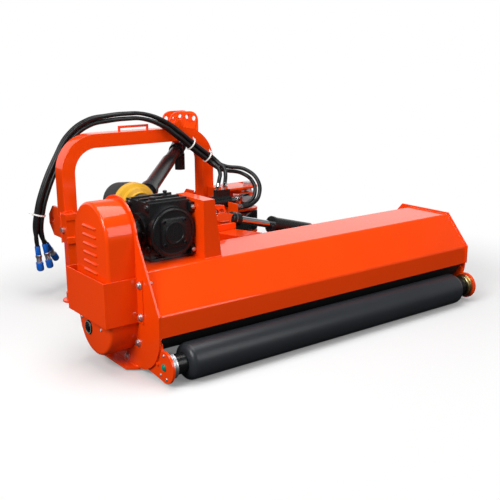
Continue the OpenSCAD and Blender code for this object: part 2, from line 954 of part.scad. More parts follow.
module gearbox_housing() {
    case_low = gear_z - case_below;
    case_high = gear_z + case_above;
    color(black) placed() difference() {
        union() {
            rod_y(disc_r, disc_y, disc_y + disc_t, gear_x, gear_z);
            block([gear_x - case_half, case_y, case_low], [gear_x + case_half, case_front, case_high]);
            rod_y(neck_r, case_front - overrun, neck_end, gear_x, input_z);
            rod_x(cross_tube_r, left_x, gear_x - case_half + overrun, rotor_y, pulley_z);
            rod_x(cross_flange_r, left_x, left_x + cross_flange_t, rotor_y, pulley_z);
            rod_x(collar_r, gear_x - case_half - collar_w, gear_x - case_half + overrun, rotor_y, pulley_z);
            for (y = ear_places_y, z = ear_places_z)
                block([gear_x + case_half - overrun, y - ear_w / 2, z - ear_w / 2],
                      [tower_x, y + ear_w / 2, z + ear_w / 2]);
            for (y = rib_places)
                block([gear_x - case_half, y - rib_t / 2, case_high - overrun],
                      [gear_x + case_half, y + rib_t / 2, case_high + rib_h]);
        }
        block([gear_x - case_half + case_wall, disc_y + disc_t + seat_gap, case_low + case_wall],
              [gear_x + case_half - case_wall, case_front - case_wall, case_high - case_wall]);
        rod_y(mid_r + running_gap, disc_y - overrun, disc_y + disc_t + overrun, gear_x, gear_z);
        rod_y(input_r + running_gap, case_front - case_wall - overrun, neck_end + overrun, gear_x, input_z);
        rod_x(cross_r + running_gap, left_x - overrun, gear_x - case_half + case_wall + overrun,
              rotor_y, pulley_z);
        for (y = ear_places_y, z = ear_places_z)
            rod_x(tower_bolt_r + bolt_gap, gear_x + case_half, tower_x + overrun, y, z);
    }
}

module gearbox_cover() {
    color(black) placed() {
        block([gear_x - cover_plate_half, disc_y - cover_plate_t, gear_z - cover_plate_half],
              [gear_x + cover_plate_half, disc_y, gear_z + cover_plate_half]);
        rod_y(cover_boss_r, disc_y - cover_plate_t - cover_boss_t, disc_y - cover_plate_t, gear_x, gear_z);
    }
}

module gearbox_fasteners() {
    reach = cover_plate_half - cover_screw_inset;
    top = gear_z + case_above;
    head_x1 = gear_x + case_half - overrun;
    color(steel) placed() {
        for (sx = [-1, 1], sz = [-1, 1])
            rod_y(screw_head_r, disc_y - cover_plate_t - screw_head_h, disc_y - cover_plate_t,
                  gear_x + sx * reach, gear_z + sz * reach);
        for (y = ear_places_y, z = ear_places_z) {
            rod_x(tower_bolt_r, head_x1 + case_wall, tower_x + tower_t, y, z);
            hex_x(tower_head_r, tower_x + tower_t, tower_x + tower_t + tower_head_h, y, z);
        }
        rod_z(plug_big_r, top, top + plug_big_h,
              gear_x - case_half / 2, (rib_places[0] + rib_places[1]) / 2);
        rod_z(plug_small_r, top, top + plug_small_h,
              gear_x + case_half / 2, (rib_places[1] + rib_places[2]) / 2);
    }
}

module gearbox_tower() {
    face = [
        [tower_x, deck_h], [tower_x + tower_foot_w, deck_h],
        [tower_x + tower_top_w, tower_top], [tower_x, tower_top]
    ];
    rear = tower_y + tower_depth;
    color(orange) placed() difference() {
        union() {
            along_y(tower_y, tower_y + tower_t) polygon(face);
            along_y(rear - tower_t, rear) polygon(face);
            block([tower_x, tower_y, deck_h], [tower_x + tower_t, rear, tower_top]);
            block([tower_x, tower_y, tower_top - tower_t], [tower_x + tower_top_w, rear, tower_top]);
        }
        block([tower_x - overrun, slot_y - slot_w / 2, tower_top - slot_drop - slot_h],
              [tower_x + tower_t + overrun, slot_y + slot_w / 2, tower_top - slot_drop]);
        for (y = ear_places_y, z = ear_places_z)
            rod_x(tower_bolt_r + bolt_gap, tower_x - overrun, tower_x + tower_t + overrun, y, z);
    }
}

// Turned wall about the input shaft, from a path of radius against distance ahead
module shield_ring(path, t) {
    translate([gear_x, shield_y, input_z]) rotate([-90, 0, 0]) rotate_extrude() polygon(strip(path, t));
}

module pto_shield() {
    color(yellow) placed() shield_ring(shield_path, shield_t);
}

module shield_cuff() {
    color(black) placed() shield_ring(cuff_path, -cuff_t);
}

module drive_belts() {
    inner = groove_r + belt_gap;
    color(black) placed() for (i = [0:belts - 1]) {
        x0 = pulley_x + (i + 1 / 2) * belt_pitch - belt_w / 2;
        along_x(x0, x0 + belt_w) difference() {
            obround(inner + belt_t);
            obround(inner);
        }
    }
}

// Grooved pulley about an axis at height z
module pulley(z, bore) {
    difference() {
        rod_x(groove_r + rim_rise, pulley_x, pulley_x + pulley_w, rotor_y, z);
        for (i = [0:belts - 1]) {
            x0 = pulley_x + (i + 1 / 2) * belt_pitch - groove_w / 2;
            difference() {
                rod_x(groove_r + rim_rise + overrun, x0, x0 + groove_w, rotor_y, z);
                rod_x(groove_r, x0 - overrun, x0 + groove_w + overrun, rotor_y, z);
            }
        }
        rod_x(bore, pulley_x - overrun, pulley_x + pulley_w + overrun, rotor_y, z);
    }
}

module rotor_bearings() {
    color(steel) placed() both_ends() difference() {
        rod_x(bearing_r, left_x, left_x + bearing_t, rotor_y, rotor_z);
        rod_x(rotor_stub_r + running_gap, left_x - overrun, left_x + bearing_t + overrun, rotor_y, rotor_z);
    }
}

module flap_rod() {
    color(steel) placed() rod_x(flap_rod_r, left_x, right_x, flap_y, flap_z);
}

module front_flaps() {
    pitch = (deck_w - 2 * flap_edge) / flap_count;
    color(black) placed() for (i = [0:flap_count - 1]) {
        x0 = left_x + flap_edge + i * pitch + flap_gap / 2;
        x1 = x0 + pitch - flap_gap;
        difference() {
            union() {
                rod_x(flap_eye_r, x0, x1, flap_y, flap_z);
                block([x0, flap_y - flap_t / 2, flap_z - flap_l], [x1, flap_y + flap_t / 2, flap_z]);
            }
            rod_x(flap_rod_r + seat_gap, x0 - overrun, x1 + overrun, flap_y, flap_z);
        }
    }
}

module hinge_blocks() {
    wedge = [[nose_y, nose_z], [block_y, nose_z], [block_y, block_top], [brow_y, deck_h]];
    color(orange) placed() {
        difference() {
            along_x(tilt_x - block_half, tilt_x + block_half) polygon(wedge);
            rod_y(tilt_pin_r + running_gap, block_y - block_bore, block_y + overrun, tilt_x, tilt_z);
        }
        block([barrel_x - foot_block_half, nose_y, apron_z + foot_block_inset],
              [barrel_x + foot_block_half, foot_block_y, nose_z - foot_block_inset]);
        rod_y(tilt_foot_r, foot_block_y - overrun, tilt_foot_tip, barrel_x, barrel_z);
    }
}

// Place the children at every flail of a row, with local Z pointing out from the rotor's axis
module at_flails(row) {
    for (i = [0:flails_per_row - 1])
        translate([-rotor_half + flail_pitch * (i + (row + 1 / 2) / row_count), rotor_y, rotor_z])
            rotate([row_angles[row], 0, 0]) children();
}

module ear_pair() {
    x0 = flail_w / 2 + ear_gap;
    for (side = [-1, 1]) translate([side * (x0 + ear_t / 2) - ear_t / 2, 0, 0]) difference() {
        rotate([90, 0, 90]) linear_extrude(ear_t) {
            translate([0, flail_circle]) circle(ear_r);
            translate([-ear_r, rotor_r - rotor_wall]) square([2 * ear_r, flail_rise + rotor_wall]);
        }
        rod_x(flail_bolt_r + bolt_gap, -overrun, ear_t + overrun, 0, flail_circle);
    }
}

module rotor() {
    color(steel) placed() {
        difference() {
            rod_x(rotor_r, -rotor_half, rotor_half, rotor_y, rotor_z);
            rod_x(rotor_r - rotor_wall, -rotor_half + rotor_wall, rotor_half - rotor_wall, rotor_y, rotor_z);
        }
        rod_x(rotor_stub_r, pulley_x, -rotor_half + rotor_wall / 2, rotor_y, rotor_z);
        rod_x(rotor_stub_r, rotor_half - rotor_wall / 2, right_x - roller_end_gap, rotor_y, rotor_z);
        difference() {
            for (row = [0:row_count - 1]) at_flails(row) ear_pair();
            rod_x(rotor_r - rotor_wall / 2, -rotor_half, rotor_half, rotor_y, rotor_z);
        }
    }
}

module driven_pulley() {
    color(steel) placed() pulley(rotor_z, rotor_stub_r + running_gap);
}

// One flail that hangs straight down from a bolt at the origin
module flail() {
    knee = -flail_l * flail_flare_share;
    hem = -flail_l * flail_foot_share;
    outline = [
        [-flail_neck / 2, 0], [-flail_neck / 2, knee], [-flail_foot / 2, hem], [-flail_foot / 2, -flail_l],
        [flail_foot / 2, -flail_l], [flail_foot / 2, hem], [flail_neck / 2, knee], [flail_neck / 2, 0]
    ];
    difference() {
        translate([-flail_w / 2, 0, 0]) rotate([90, 0, 90]) linear_extrude(flail_w) {
            circle(flail_eye_r);
            polygon(outline);
        }
        rod_x(flail_bolt_r + seat_gap, -flail_w, flail_w, 0, 0);
    }
}

module flail_row(row) {
    color(steel) placed() at_flails(row)
        translate([0, 0, flail_circle]) rotate([-row_angles[row], 0, 0]) flail();
}

module flails_1() flail_row(0);
module flails_2() flail_row(1);
module flails_3() flail_row(2);

module flail_bolts() {
    reach = flail_w / 2 + ear_gap + ear_t;
    color(zinc) placed() for (row = [0:row_count - 1]) at_flails(row) {
        rod_x(flail_bolt_r, -reach - bolt_end, reach + bolt_end, 0, flail_circle);
        for (side = [-1, 1])
            hex_x(bolt_head_r, side * (reach + bolt_end / 2) - bolt_end / 2,
                  side * (reach + bolt_end / 2) + bolt_end / 2, 0, flail_circle);
    }
}

module bevel() cylinder(r1 = bevel_far - bevel_gap, r2 = bevel_near - bevel_gap, h = bevel_far - bevel_near);

module output_shaft() {
    color(steel) placed() {
        rod_x(cross_r, pulley_x, gear_x - bevel_near, rotor_y, pulley_z);
        translate([gear_x - bevel_far, rotor_y, pulley_z]) rotate([0, 90, 0]) bevel();
    }
}

module drive_pulley() {
    color(steel) placed() pulley(pulley_z, cross_r + running_gap);
}

module mid_shaft() {
    color(steel) placed() {
        rod_y(mid_r, mid_start, rotor_y - bevel_near, gear_x, gear_z);
        rod_y(gear_r, gear_y, gear_y + gear_w, gear_x, gear_z);
        translate([gear_x, rotor_y - bevel_far, gear_z]) rotate([-90, 0, 0]) bevel();
    }
}

module input_shaft() {
    color(steel) placed() {
        rod_y(input_r, gear_y, stub_end, gear_x, input_z);
        rod_y(gear_r, gear_y, gear_y + gear_w, gear_x, input_z);
    }
}

// Local Z points from the tilt cylinder's foot to its rod pin
module at_barrel() translate([barrel_x, cyl_y, barrel_z]) rotate([0, cyl_angle, 0]) children();
module at_rod() at_barrel() translate([0, 0, cyl_l]) children();

module tilt_barrel() {
    color(black) placed() at_barrel() difference() {
        union() {
            rotate([90, 0, 0]) cylinder(r = tilt_eye_r, h = tilt_eye_w, center = true);
            cylinder(r = tilt_eye_w / 2, h = barrel_start);
            translate([0, 0, barrel_start]) cylinder(r = barrel_r, h = barrel_end - barrel_start);
            translate([0, 0, barrel_end - gland_l]) cylinder(r = gland_r, h = gland_l);
        }
        rotate([90, 0, 0]) cylinder(r = tilt_foot_r + running_gap, h = 2 * tilt_eye_w, center = true);
        translate([0, 0, barrel_start + barrel_wall])
            cylinder(r = barrel_r - barrel_wall, h = barrel_end - barrel_start - barrel_wall - gland_l);
        translate([0, 0, barrel_start + barrel_wall])
            cylinder(r = tilt_rod_r + running_gap, h = barrel_end);
    }
}

module tilt_rod() {
    inner = lug_t / 2 + fork_gap;
    color(chrome) placed() at_rod() {
        translate([0, 0, -rod_tail]) cylinder(r = tilt_rod_r, h = rod_tail - fork_root);
        translate([0, 0, -rod_tail]) cylinder(r = barrel_r - barrel_wall - seat_gap, h = piston_w);
        translate([0, 0, -collar_to]) cylinder(r = rod_collar_r, h = collar_to - collar_from);
        block([-fork_w / 2, -inner - fork_t, -fork_root - fork_root_t],
              [fork_w / 2, inner + fork_t, -fork_root]);
        for (side = [-1, 1]) translate([0, side * (inner + fork_t / 2) - fork_t / 2, 0]) {
            block([-fork_w / 2, 0, -fork_root - fork_root_t], [fork_w / 2, fork_t, 0]);
            rotate([-90, 0, 0]) cylinder(r = fork_w / 2, h = fork_t);
        }
        rotate([90, 0, 0]) cylinder(r = rod_pin_r, h = 2 * (inner + fork_t), center = true);
    }
}

// Rod pin about the tilt axis, in X and Z, when the deck is tilted by t degrees
function pin_reach(t) = cyl_l + slide_per_degree * t;
function pin_in_deck(t) = [barrel_run, -barrel_drop] + pin_reach(t) * [sin(cyl_angle), cos(cyl_angle)];
function turned(p, t) = [p[0] * cos(t) - p[1] * sin(t), p[0] * sin(t) + p[1] * cos(t)];

module head() {
    high = bracket_mid + head_plate_t;
    low = bracket_low - head_plate_t;
    color(orange) placed() {
        block([head_left, head_back, low], [wall_right, head_back + head_t, wall_top]);
        for (z = [low, bracket_mid])
            block([head_left, head_back, z], [head_right, head_front, z + head_plate_t]);
        for (x = [head_x, head_tie_x]) rod_z(pin_r, low, high, x, head_y);
        rod_y(tilt_pin_r, block_y - tilt_pin_tip, head_back + overrun, tilt_x, tilt_z);
        difference() {
            along_y(cyl_y - lug_t / 2, cyl_y + lug_t / 2)
                polygon([for (p = lug_outline) [tilt_x + p[0], lug_z + p[1]]]);
            for (i = [0:float_steps]) {
                t = tilt_down + (tilt_up - tilt_down) * i / float_steps;
                p = turned(pin_in_deck(t), t);
                rod_y(rod_pin_r + float_slack, cyl_y - lug_t, cyl_y + lug_t, tilt_x + p[0], tilt_z + p[1]);
            }
        }
    }
}

// Straight link from an upright pivot towards the head, with a hub at each end
module link(x, z, h, w, r0, r1, bore0, bore1) {
    translate([x, pivot_y, z]) rotate([0, 0, arm_angle]) difference() {
        union() {
            block([0, -w / 2, 0], [arm_len, w / 2, h]);
            cylinder(r = r0, h = h);
            translate([arm_len, 0, 0]) cylinder(r = r1, h = h);
        }
        translate([0, 0, -overrun]) cylinder(r = bore0, h = h + 2 * overrun);
        translate([arm_len, 0, -overrun]) cylinder(r = bore1, h = h + 2 * overrun);
    }
}

module swing_arm() {
    color(black) placed() link(pivot_x, arm_z, arm_h, arm_w, arm_hub_r, arm_end_r,
                               pivot_r + running_gap, pin_r + running_gap);
}

module tie_link() {
    color(black) placed() link(tie_x, tie_z, tie_h, tie_w, tie_end_r, tie_end_r,
                               pin_r + running_gap, pin_r + running_gap);
}

module swing_shaft() {
    low = bracket_low - bracket_plate_t;
    high = bracket_top + bracket_plate_t;
    color(zinc) placed() {
        rod_z(pivot_r, low - nut_h, high + nut_h, pivot_x, pivot_y);
        for (z = [low - nut_h, high])
            translate([pivot_x, pivot_y, z]) cylinder(r = nut_r, h = nut_h, $fn = 6);
        translate([pivot_x, pivot_y, offset_z - lever_t / 2]) rotate([0, 0, -lever_half]) difference() {
            union() {
                cylinder(r = lever_hub_r, h = lever_t);
                block([-lever_w / 2, -lever_tip, 0], [lever_w / 2, 0, lever_t]);
            }
            for (r = [offset_back, offset_back / cos(lever_half)])
                translate([0, -r, -overrun]) cylinder(r = yoke_slot_half, h = lever_t + 2 * overrun);
            block([-yoke_slot_half, -offset_back / cos(lever_half), -overrun],
                  [yoke_slot_half, -offset_back, lever_t + overrun]);
        }
    }
}

module offset_barrel() {
    color(black) placed() difference() {
        union() {
            rod_x(offset_r, offset_base, offset_head, offset_y, offset_z);
            rod_z(foot_eye_r, offset_z - foot_eye_h / 2, offset_z + foot_eye_h / 2, offset_foot_x, offset_y);
            rod_x(foot_eye_h / 2, offset_foot_x + foot_pin_r + overrun, offset_base + overrun,
                  offset_y, offset_z);
            block([port_x[0] - port_block_edge, offset_y - port_block_w / 2, offset_z],
                  [port_x[1] + port_block_edge, offset_y + port_block_w / 2,
                   offset_z + offset_r + port_block_h]);
        }
        rod_z(foot_pin_r + running_gap, offset_z - foot_eye_h, offset_z + foot_eye_h,
              offset_foot_x, offset_y);
        rod_x(offset_r - offset_wall, offset_base + offset_cap, offset_head - offset_cap, offset_y, offset_z);
        rod_x(offset_rod_r + running_gap, offset_base + offset_cap, offset_head + overrun,
              offset_y, offset_z);
    }
}

module offset_rod() {
    inner = lever_t / 2 + jaw_gap;
    root = offset_pin_x - jaw_root;
    color(chrome) placed() {
        rod_x(offset_rod_r, offset_rod_tail, root, offset_y, offset_z);
        rod_x(offset_r - offset_wall - seat_gap, offset_rod_tail, offset_rod_tail + piston_w,
              offset_y, offset_z);
        block([root - jaw_t, offset_y - jaw_w / 2, offset_z - inner - jaw_t],
              [root, offset_y + jaw_w / 2, offset_z + inner + jaw_t]);
        for (z = [offset_z - inner - jaw_t, offset_z + inner])
            block([root - jaw_t, offset_y - jaw_w / 2, z],
                  [offset_pin_x + jaw_nose, offset_y + jaw_w / 2, z + jaw_t]);
        rod_z(yoke_pin_r, offset_z - inner - jaw_t, offset_z + inner + jaw_t, offset_pin_x, offset_y);
    }
}

// Outer or inner skin of the bent frame tube, set in by t on every side
module frame_skin(t) {
    bend_z = frame_top - bend_r;
    y0 = frame_y + t;
    y1 = frame_front - t;
    for (side = [0, 1]) {
        leg_x = side == 0 ? frame_l : frame_r - tube_w;
        block([leg_x + t, y0, beam_top - (t > 0 ? overrun : 0)], [leg_x + tube_w - t, y1, bend_z]);
        bend_x = side == 0 ? frame_l + bend_r : frame_r - bend_r;
        translate([bend_x, y1, bend_z]) rotate([90, 0, 0]) rotate([0, 0, side == 0 ? 90 : 0])
            rotate_extrude(angle = 90) translate([bend_r - tube_w + t, 0]) square([tube_w - 2 * t, y1 - y0]);
    }
    block([frame_l + bend_r, y0, frame_top - tube_w + t], [frame_r - bend_r, y1, frame_top - t]);
}

module a_frame() {
    color(orange) placed() difference() {
        frame_skin(0);
        frame_skin(tube_wall);
    }
}

// Two plates at one end of the cross beam, let into its wall
module link_plates(x0) {
    sunk = frame_front - tube_wall / 2;
    for (x = [x0, x0 + link_gap + link_plate_t]) difference() {
        along_x(x, x + link_plate_t) polygon([
            [sunk, beam_z], [sunk, beam_top], [frame_front, beam_top],
            [frame_front, beam_top + link_plate_rise], [link_hole_y, beam_top + link_plate_rise],
            [frame_front + link_plate_l, link_hole_z + link_nose],
            [frame_front + link_plate_l, link_hole_z - link_nose], [link_hole_y, beam_z]
        ]);
        rod_x(link_hole_r, x - overrun, x + link_plate_t + overrun, link_hole_y, link_hole_z);
    }
}

module cross_beam() {
    anchor_l = offset_foot_x - anchor_w / 2;
    anchor_r = offset_foot_x + anchor_w / 2;
    jaw = foot_eye_h / 2 + seat_gap;
    color(orange) placed() {
        difference() {
            block([frame_l, frame_y, beam_z], [frame_r, frame_front, beam_top]);
            block([frame_l + tube_wall, frame_y + tube_wall, beam_z + tube_wall],
                  [frame_r - tube_wall, frame_front - tube_wall, beam_top - tube_wall]);
        }
        link_plates(frame_l);
        link_plates(frame_r - link_gap - 2 * link_plate_t);
        block([anchor_l, frame_y - anchor_root, beam_z],
              [anchor_r, frame_y + tube_wall / 2, offset_z + jaw + anchor_wall]);
        difference() {
            block([anchor_l, offset_y - anchor_nose, offset_z - jaw - anchor_wall],
                  [anchor_r, frame_y, offset_z + jaw + anchor_wall]);
            block([anchor_l - overrun, offset_y - anchor_nose - overrun, offset_z - jaw],
                  [anchor_r + overrun, offset_y + anchor_nose, offset_z + jaw]);
        }
        rod_z(foot_pin_r, offset_z - jaw - anchor_wall, offset_z + jaw + anchor_wall,
              offset_foot_x, offset_y);
    }
}

module top_link_plates() {
    c = top_corner_share * top_plate_h;
    half = top_plate_half;
    outline = [
        [-half, -top_plate_drop], [half, -top_plate_drop], [half, top_plate_h - c], [half - c, top_plate_h],
        [c - half, top_plate_h], [-half, top_plate_h - c]
    ];
    color(orange) placed() difference() {
        for (y = [frame_y, frame_front - top_plate_t])
            along_y(y, y + top_plate_t) translate([top_plate_x, frame_top]) polygon(outline);
        frame_skin(0);
        for (i = [0:top_holes - 1]) {
            a = (i - (top_holes - 1) / 2) * top_arc_step;
            rod_y(top_hole_r, frame_y - overrun, frame_front + overrun,
                  top_plate_x + top_arc_r * sin(a), top_hole_z - top_arc_r * (1 - cos(a)));
        }
    }
}

module stand_clamp() {
    face = stand_x - sleeve_half;
    color(zinc) placed() {
        rod_x(clamp_r, face, stand_x - leg_w / 2 - seat_gap, stand_y, clamp_z);
        hex_x(clamp_head_r, face - clamp_head_h, face, stand_y, clamp_z);
    }
}

module stand_sleeve() {
    inner = leg_w / 2 + stand_gap;
    lid = sleeve_half + sleeve_band_t;
    color(orange) placed() difference() {
        union() {
            block([stand_x - sleeve_half, stand_y - sleeve_half, sleeve_z],
                  [stand_x + sleeve_half, stand_y + sleeve_half, sleeve_z + sleeve_h]);
            for (z = [sleeve_z, sleeve_z + sleeve_h - sleeve_band])
                block([stand_x - sleeve_half, stand_y - lid, z], [stand_x + lid, frame_y, z + sleeve_band]);
        }
        block([stand_x - inner, stand_y - inner, sleeve_z - overrun],
              [stand_x + inner, stand_y + inner, sleeve_z + sleeve_h + overrun]);
        rod_x(clamp_r + bolt_gap, stand_x - 2 * sleeve_half, stand_x, stand_y, clamp_z);
    }
}

module stand_leg() {
    half = leg_w / 2;
    inner = half - leg_wall;
    color(orange) placed() {
        difference() {
            block([stand_x - half, stand_y - half, foot_t], [stand_x + half, stand_y + half, leg_top]);
            block([stand_x - inner, stand_y - inner, foot_t + foot_collar_h],
                  [stand_x + inner, stand_y + inner, leg_top + overrun]);
        }
        rod_z(foot_r, 0, foot_t, stand_x, stand_y);
        rod_z(foot_collar_r, foot_t, foot_t + foot_collar_h, stand_x, stand_y);
    }
}

module swing_bracket() {
    rear = pivot_y - bracket_nose_r;
    low = bracket_low - bracket_plate_t;
    high = bracket_top + bracket_plate_t;
    color(orange) placed() {
        difference() {
            union() {
                for (z = [low, bracket_mid, bracket_top]) {
                    block([bracket_left, rear, z], [pivot_x, frame_y, z + bracket_plate_t]);
                    rod_z(bracket_nose_r, z, z + bracket_plate_t, pivot_x, pivot_y);
                }
                block([bracket_left, frame_y - back_t, low], [back_right, frame_y, high]);
                block([tab_x, tab_front, bracket_mid],
                      [tab_x + tab_w, rear + overrun, bracket_mid + bracket_plate_t]);
                block([tab_x, tab_front, bracket_mid],
                      [tab_x + tab_t, tab_front + tab_l, bracket_mid + tab_h]);
            }
            rod_z(pivot_r + running_gap, low - overrun, high + overrun, pivot_x, pivot_y);
        }
        block([bracket_left, frame_y - gusset_l, low], [bracket_left + gusset_w, frame_y, high]);
        rod_z(pin_r, low, bracket_mid + bracket_plate_t, tie_x, pivot_y);
    }
}

module frame_hooks() {
    under = frame_top - tube_w;
    guide_x = frame_r - guide_left;
    color(orange) placed() {
        difference() {
            rod_z(boss_r, under - boss_h, under, ring_at[0], ring_at[1]);
            rod_z(stem_r + running_gap, under - 2 * boss_h, under - stem_short + seat_gap,
                  ring_at[0], ring_at[1]);
        }
        for (x = [guide_x, guide_x + guide_l])
            rod_z(guide_wire, frame_top, frame_top + guide_h + guide_wire, x, frame_mid_y);
        rod_x(guide_wire, guide_x, guide_x + guide_l, frame_mid_y, frame_top + guide_h);
    }
}

// Local Z runs up the drive shaft from its lower end and local Y stays level
module along_pto(s) translate(pto_a + s * pto_u) rotate([0, pto_polar, pto_azimuth]) children();

module tube(r, wall, l) difference() {
    cylinder(r = r, h = l);
    translate([0, 0, -overrun]) cylinder(r = r - wall, h = l + 2 * overrun);
}

module pto_lower() {
    color(black) placed() {
        along_pto(0) difference() {
            cylinder(r = yoke_r, h = yoke_l);
            block([-yoke_r, -yoke_slot / 2, -overrun], [yoke_r, yoke_slot / 2, yoke_slot_l]);
        }
        along_pto(yoke_l - overrun) cylinder(r = bell_r, h = bell_l + overrun);
        along_pto(yoke_l + bell_l - overrun)
            tube(guard_tube_r, guard_wall, guard_end - yoke_l - bell_l + overrun);
    }
}

module pto_upper() {
    color(black) placed() {
        along_pto(inner_start) cylinder(r = inner_tube_r, h = fork_start - inner_start);
        along_pto(ring_s - ring_w / 2) tube(ring_r, ring_r - inner_tube_r + overrun, ring_w);
        rod_z(stem_r, ring_at[2] + inner_tube_r / 2, frame_top - tube_w - stem_short, ring_at[0], ring_at[1]);
        along_pto(collar_start) cylinder(r = collar_rim_r, h = collar_l);
        for (side = [-1, 1]) along_pto(fork_start) {
            block([-fork_ear_r, side * (fork_half - fork_ear / 2) - fork_ear / 2, -overrun],
                  [fork_ear_r, side * (fork_half - fork_ear / 2) + fork_ear / 2, pto_l - fork_start]);
            translate([0, side * (fork_half - fork_ear / 2) - fork_ear / 2, pto_l - fork_start])
                rotate([-90, 0, 0]) cylinder(r = fork_ear_r, h = fork_ear);
        }
        along_pto(pto_l) rotate([90, 0, 0]) cylinder(r = cross_pin_r, h = 2 * fork_half, center = true);
    }
}

module pto_end_yoke() {
    color(black) placed() translate(pto_b) rotate([0, 0, pto_azimuth]) difference() {
        union() {
            rotate([90, 0, 0]) cylinder(r = end_eye_r, h = 2 * end_eye_half, center = true);
            translate([0, 0, -end_shank_top - end_shank_l]) cylinder(r = end_shank_r, h = end_shank_l);
            block([-end_eye_r, -end_eye_half, -end_shank_top - overrun], [end_eye_r, end_eye_half, 0]);
        }
        rotate([90, 0, 0]) cylinder(r = cross_pin_r + running_gap, h = 3 * end_eye_half, center = true);
        translate([0, 0, -end_shank_top - end_shank_l - overrun]) cylinder(r = end_bore_r, h = end_shank_l);
    }
}

// Unit vectors along and across a route at point i; the side vector stays level in Y
function route_along(p, i) = unit(p[min(i + 1, len(p) - 1)] - p[max(i - 1, 0)]);
function route_up(p, i) = unit(cross(route_along(p, i), [0, 1, 0]));
function route_side(p, i) = cross(route_up(p, i), route_along(p, i));
function trunk_of(k) = [
    for (i = [0:trunk_points[k] - 1])
        let (c = hose_corners[k])
            trunk[i] + hose_gap * (c[0] * route_up(trunk, i) + c[1] * route_side(trunk, i))
];
function hose_route(k) = concat(hose_starts[k], trunk_of(k), hose_ends[k]);

// Tube of round section swept along a route
module swept(route, r, sides) {
    n = len(route);
    rings = [
        for (i = [0:n - 1], j = [0:sides - 1])
            let (a = 360 * j / sides)
                route[i] + r * (cos(a) * route_up(route, i) + sin(a) * route_side(route, i))
    ];
    walls = [
        for (i = [0:n - 2], j = [0:sides - 1], half = [0, 1])
            let (a = i * sides + j, b = i * sides + (j + 1) % sides)
                half == 0 ? [a, b, b + sides] : [a, b + sides, a + sides]
    ];
    first = [for (j = [sides - 1:-1:0]) j];
    last = [for (j = [0:sides - 1]) (n - 1) * sides + j];
    polyhedron(rings, concat(walls, [first], [last]));
}

module hose(k) color(black) placed() swept(hose_route(k), hose_r, hose_sides);
module hose_1() hose(0);
module hose_2() hose(1);
module hose_3() hose(2);
module hose_4() hose(3);

// Local Z runs down from the end of a hose through its coupler
module at_coupler(k) {
    d = unit(hose_starts[k][0] - hose_starts[k][1]);
    translate(hose_starts[k][0]) rotate([0, acos(d[2]), atan2(d[1], d[0])]) children();
}

module hose_couplers() {
    color(zinc) placed() for (k = [0:len(hose_starts) - 1]) at_coupler(k) {
        translate([0, 0, sleeve_l]) cylinder(r = coupler_r, h = coupler_l);
        translate([0, 0, sleeve_l]) cylinder(r = coupler_rim_r, h = coupler_rim_l);
    }
}

module dust_caps() {
    color(blue) placed() for (k = [0:len(hose_starts) - 1]) at_coupler(k) {
        cylinder(r = coupler_r, h = sleeve_l);
        translate([0, 0, sleeve_l + coupler_l]) cylinder(r = dust_cap_r, h = dust_cap_l);
    }
}

module hose_ties() {
    color(white) placed() for (i = tie_points) {
        d = route_along(trunk, i);
        translate(trunk[i]) rotate([0, acos(d[2]), atan2(d[1], d[0])]) translate([0, 0, -tie_band_w / 2])
            tube(tie_band_r, tie_band_t, tie_band_w);
    }
}

// Local Z runs on from the far end of a hose into its fitting
module at_end(k) {
    route = hose_ends[k];
    end = route[len(route) - 1];
    d = unit(end - route[len(route) - 2]);
    translate(end) rotate([0, acos(d[2]), atan2(d[1], d[0])]) children();
}

module hose_fittings() {
    port_top = offset_z + offset_r + port_block_h;
    color(chrome) placed() {
        for (k = [0:len(hose_ends) - 1]) at_end(k) cylinder(r = fitting_r, h = ferrule_l);
        for (k = port_hoses) {
            end = hose_ends[k][len(hose_ends[k]) - 1];
            translate([end[0], end[1], port_top]) cylinder(r = fitting_nut_r, h = fitting_nut_l, $fn = 6);
        }
        for (k = tab_hoses) {
            end = hose_ends[k][len(hose_ends[k]) - 1];
            hex_x(fitting_nut_r, tab_x + tab_t, end[0] - ferrule_l + overrun, end[1], end[2]);
        }
    }
}

deck_shell();
rear_skirt();
left_end_plate();
right_end_plate();
roller_brackets();
roller_hubs();
roller_caps();
roller();
belt_cover();
belt_guard();
cover_plug();
deck_bolts();
gearbox_housing();
gearbox_cover();
gearbox_fasteners();
gearbox_tower();
pto_shield();
shield_cuff();
drive_belts();
rotor_bearings();
flap_rod();
front_flaps();
hinge_blocks();
rotor();
driven_pulley();
flails_1();
flails_2();
flails_3();
flail_bolts();
output_shaft();
drive_pulley();
mid_shaft();
input_shaft();
tilt_barrel();
tilt_rod();
head();
swing_arm();
swing_shaft();
tie_link();
offset_barrel();
offset_rod();
a_frame();
cross_beam();
top_link_plates();
stand_clamp();
stand_sleeve();
stand_leg();
swing_bracket();
frame_hooks();
pto_lower();
pto_upper();
pto_end_yoke();
hose_1();
hose_2();
hose_3();
hose_4();
hose_couplers();
dust_caps();
hose_ties();
hose_fittings();
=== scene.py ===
# Offset flail mower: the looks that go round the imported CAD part, in metres.
import json
from math import cos, pi, radians, sin

import bmesh
import bpy
from mathutils import Matrix, Vector


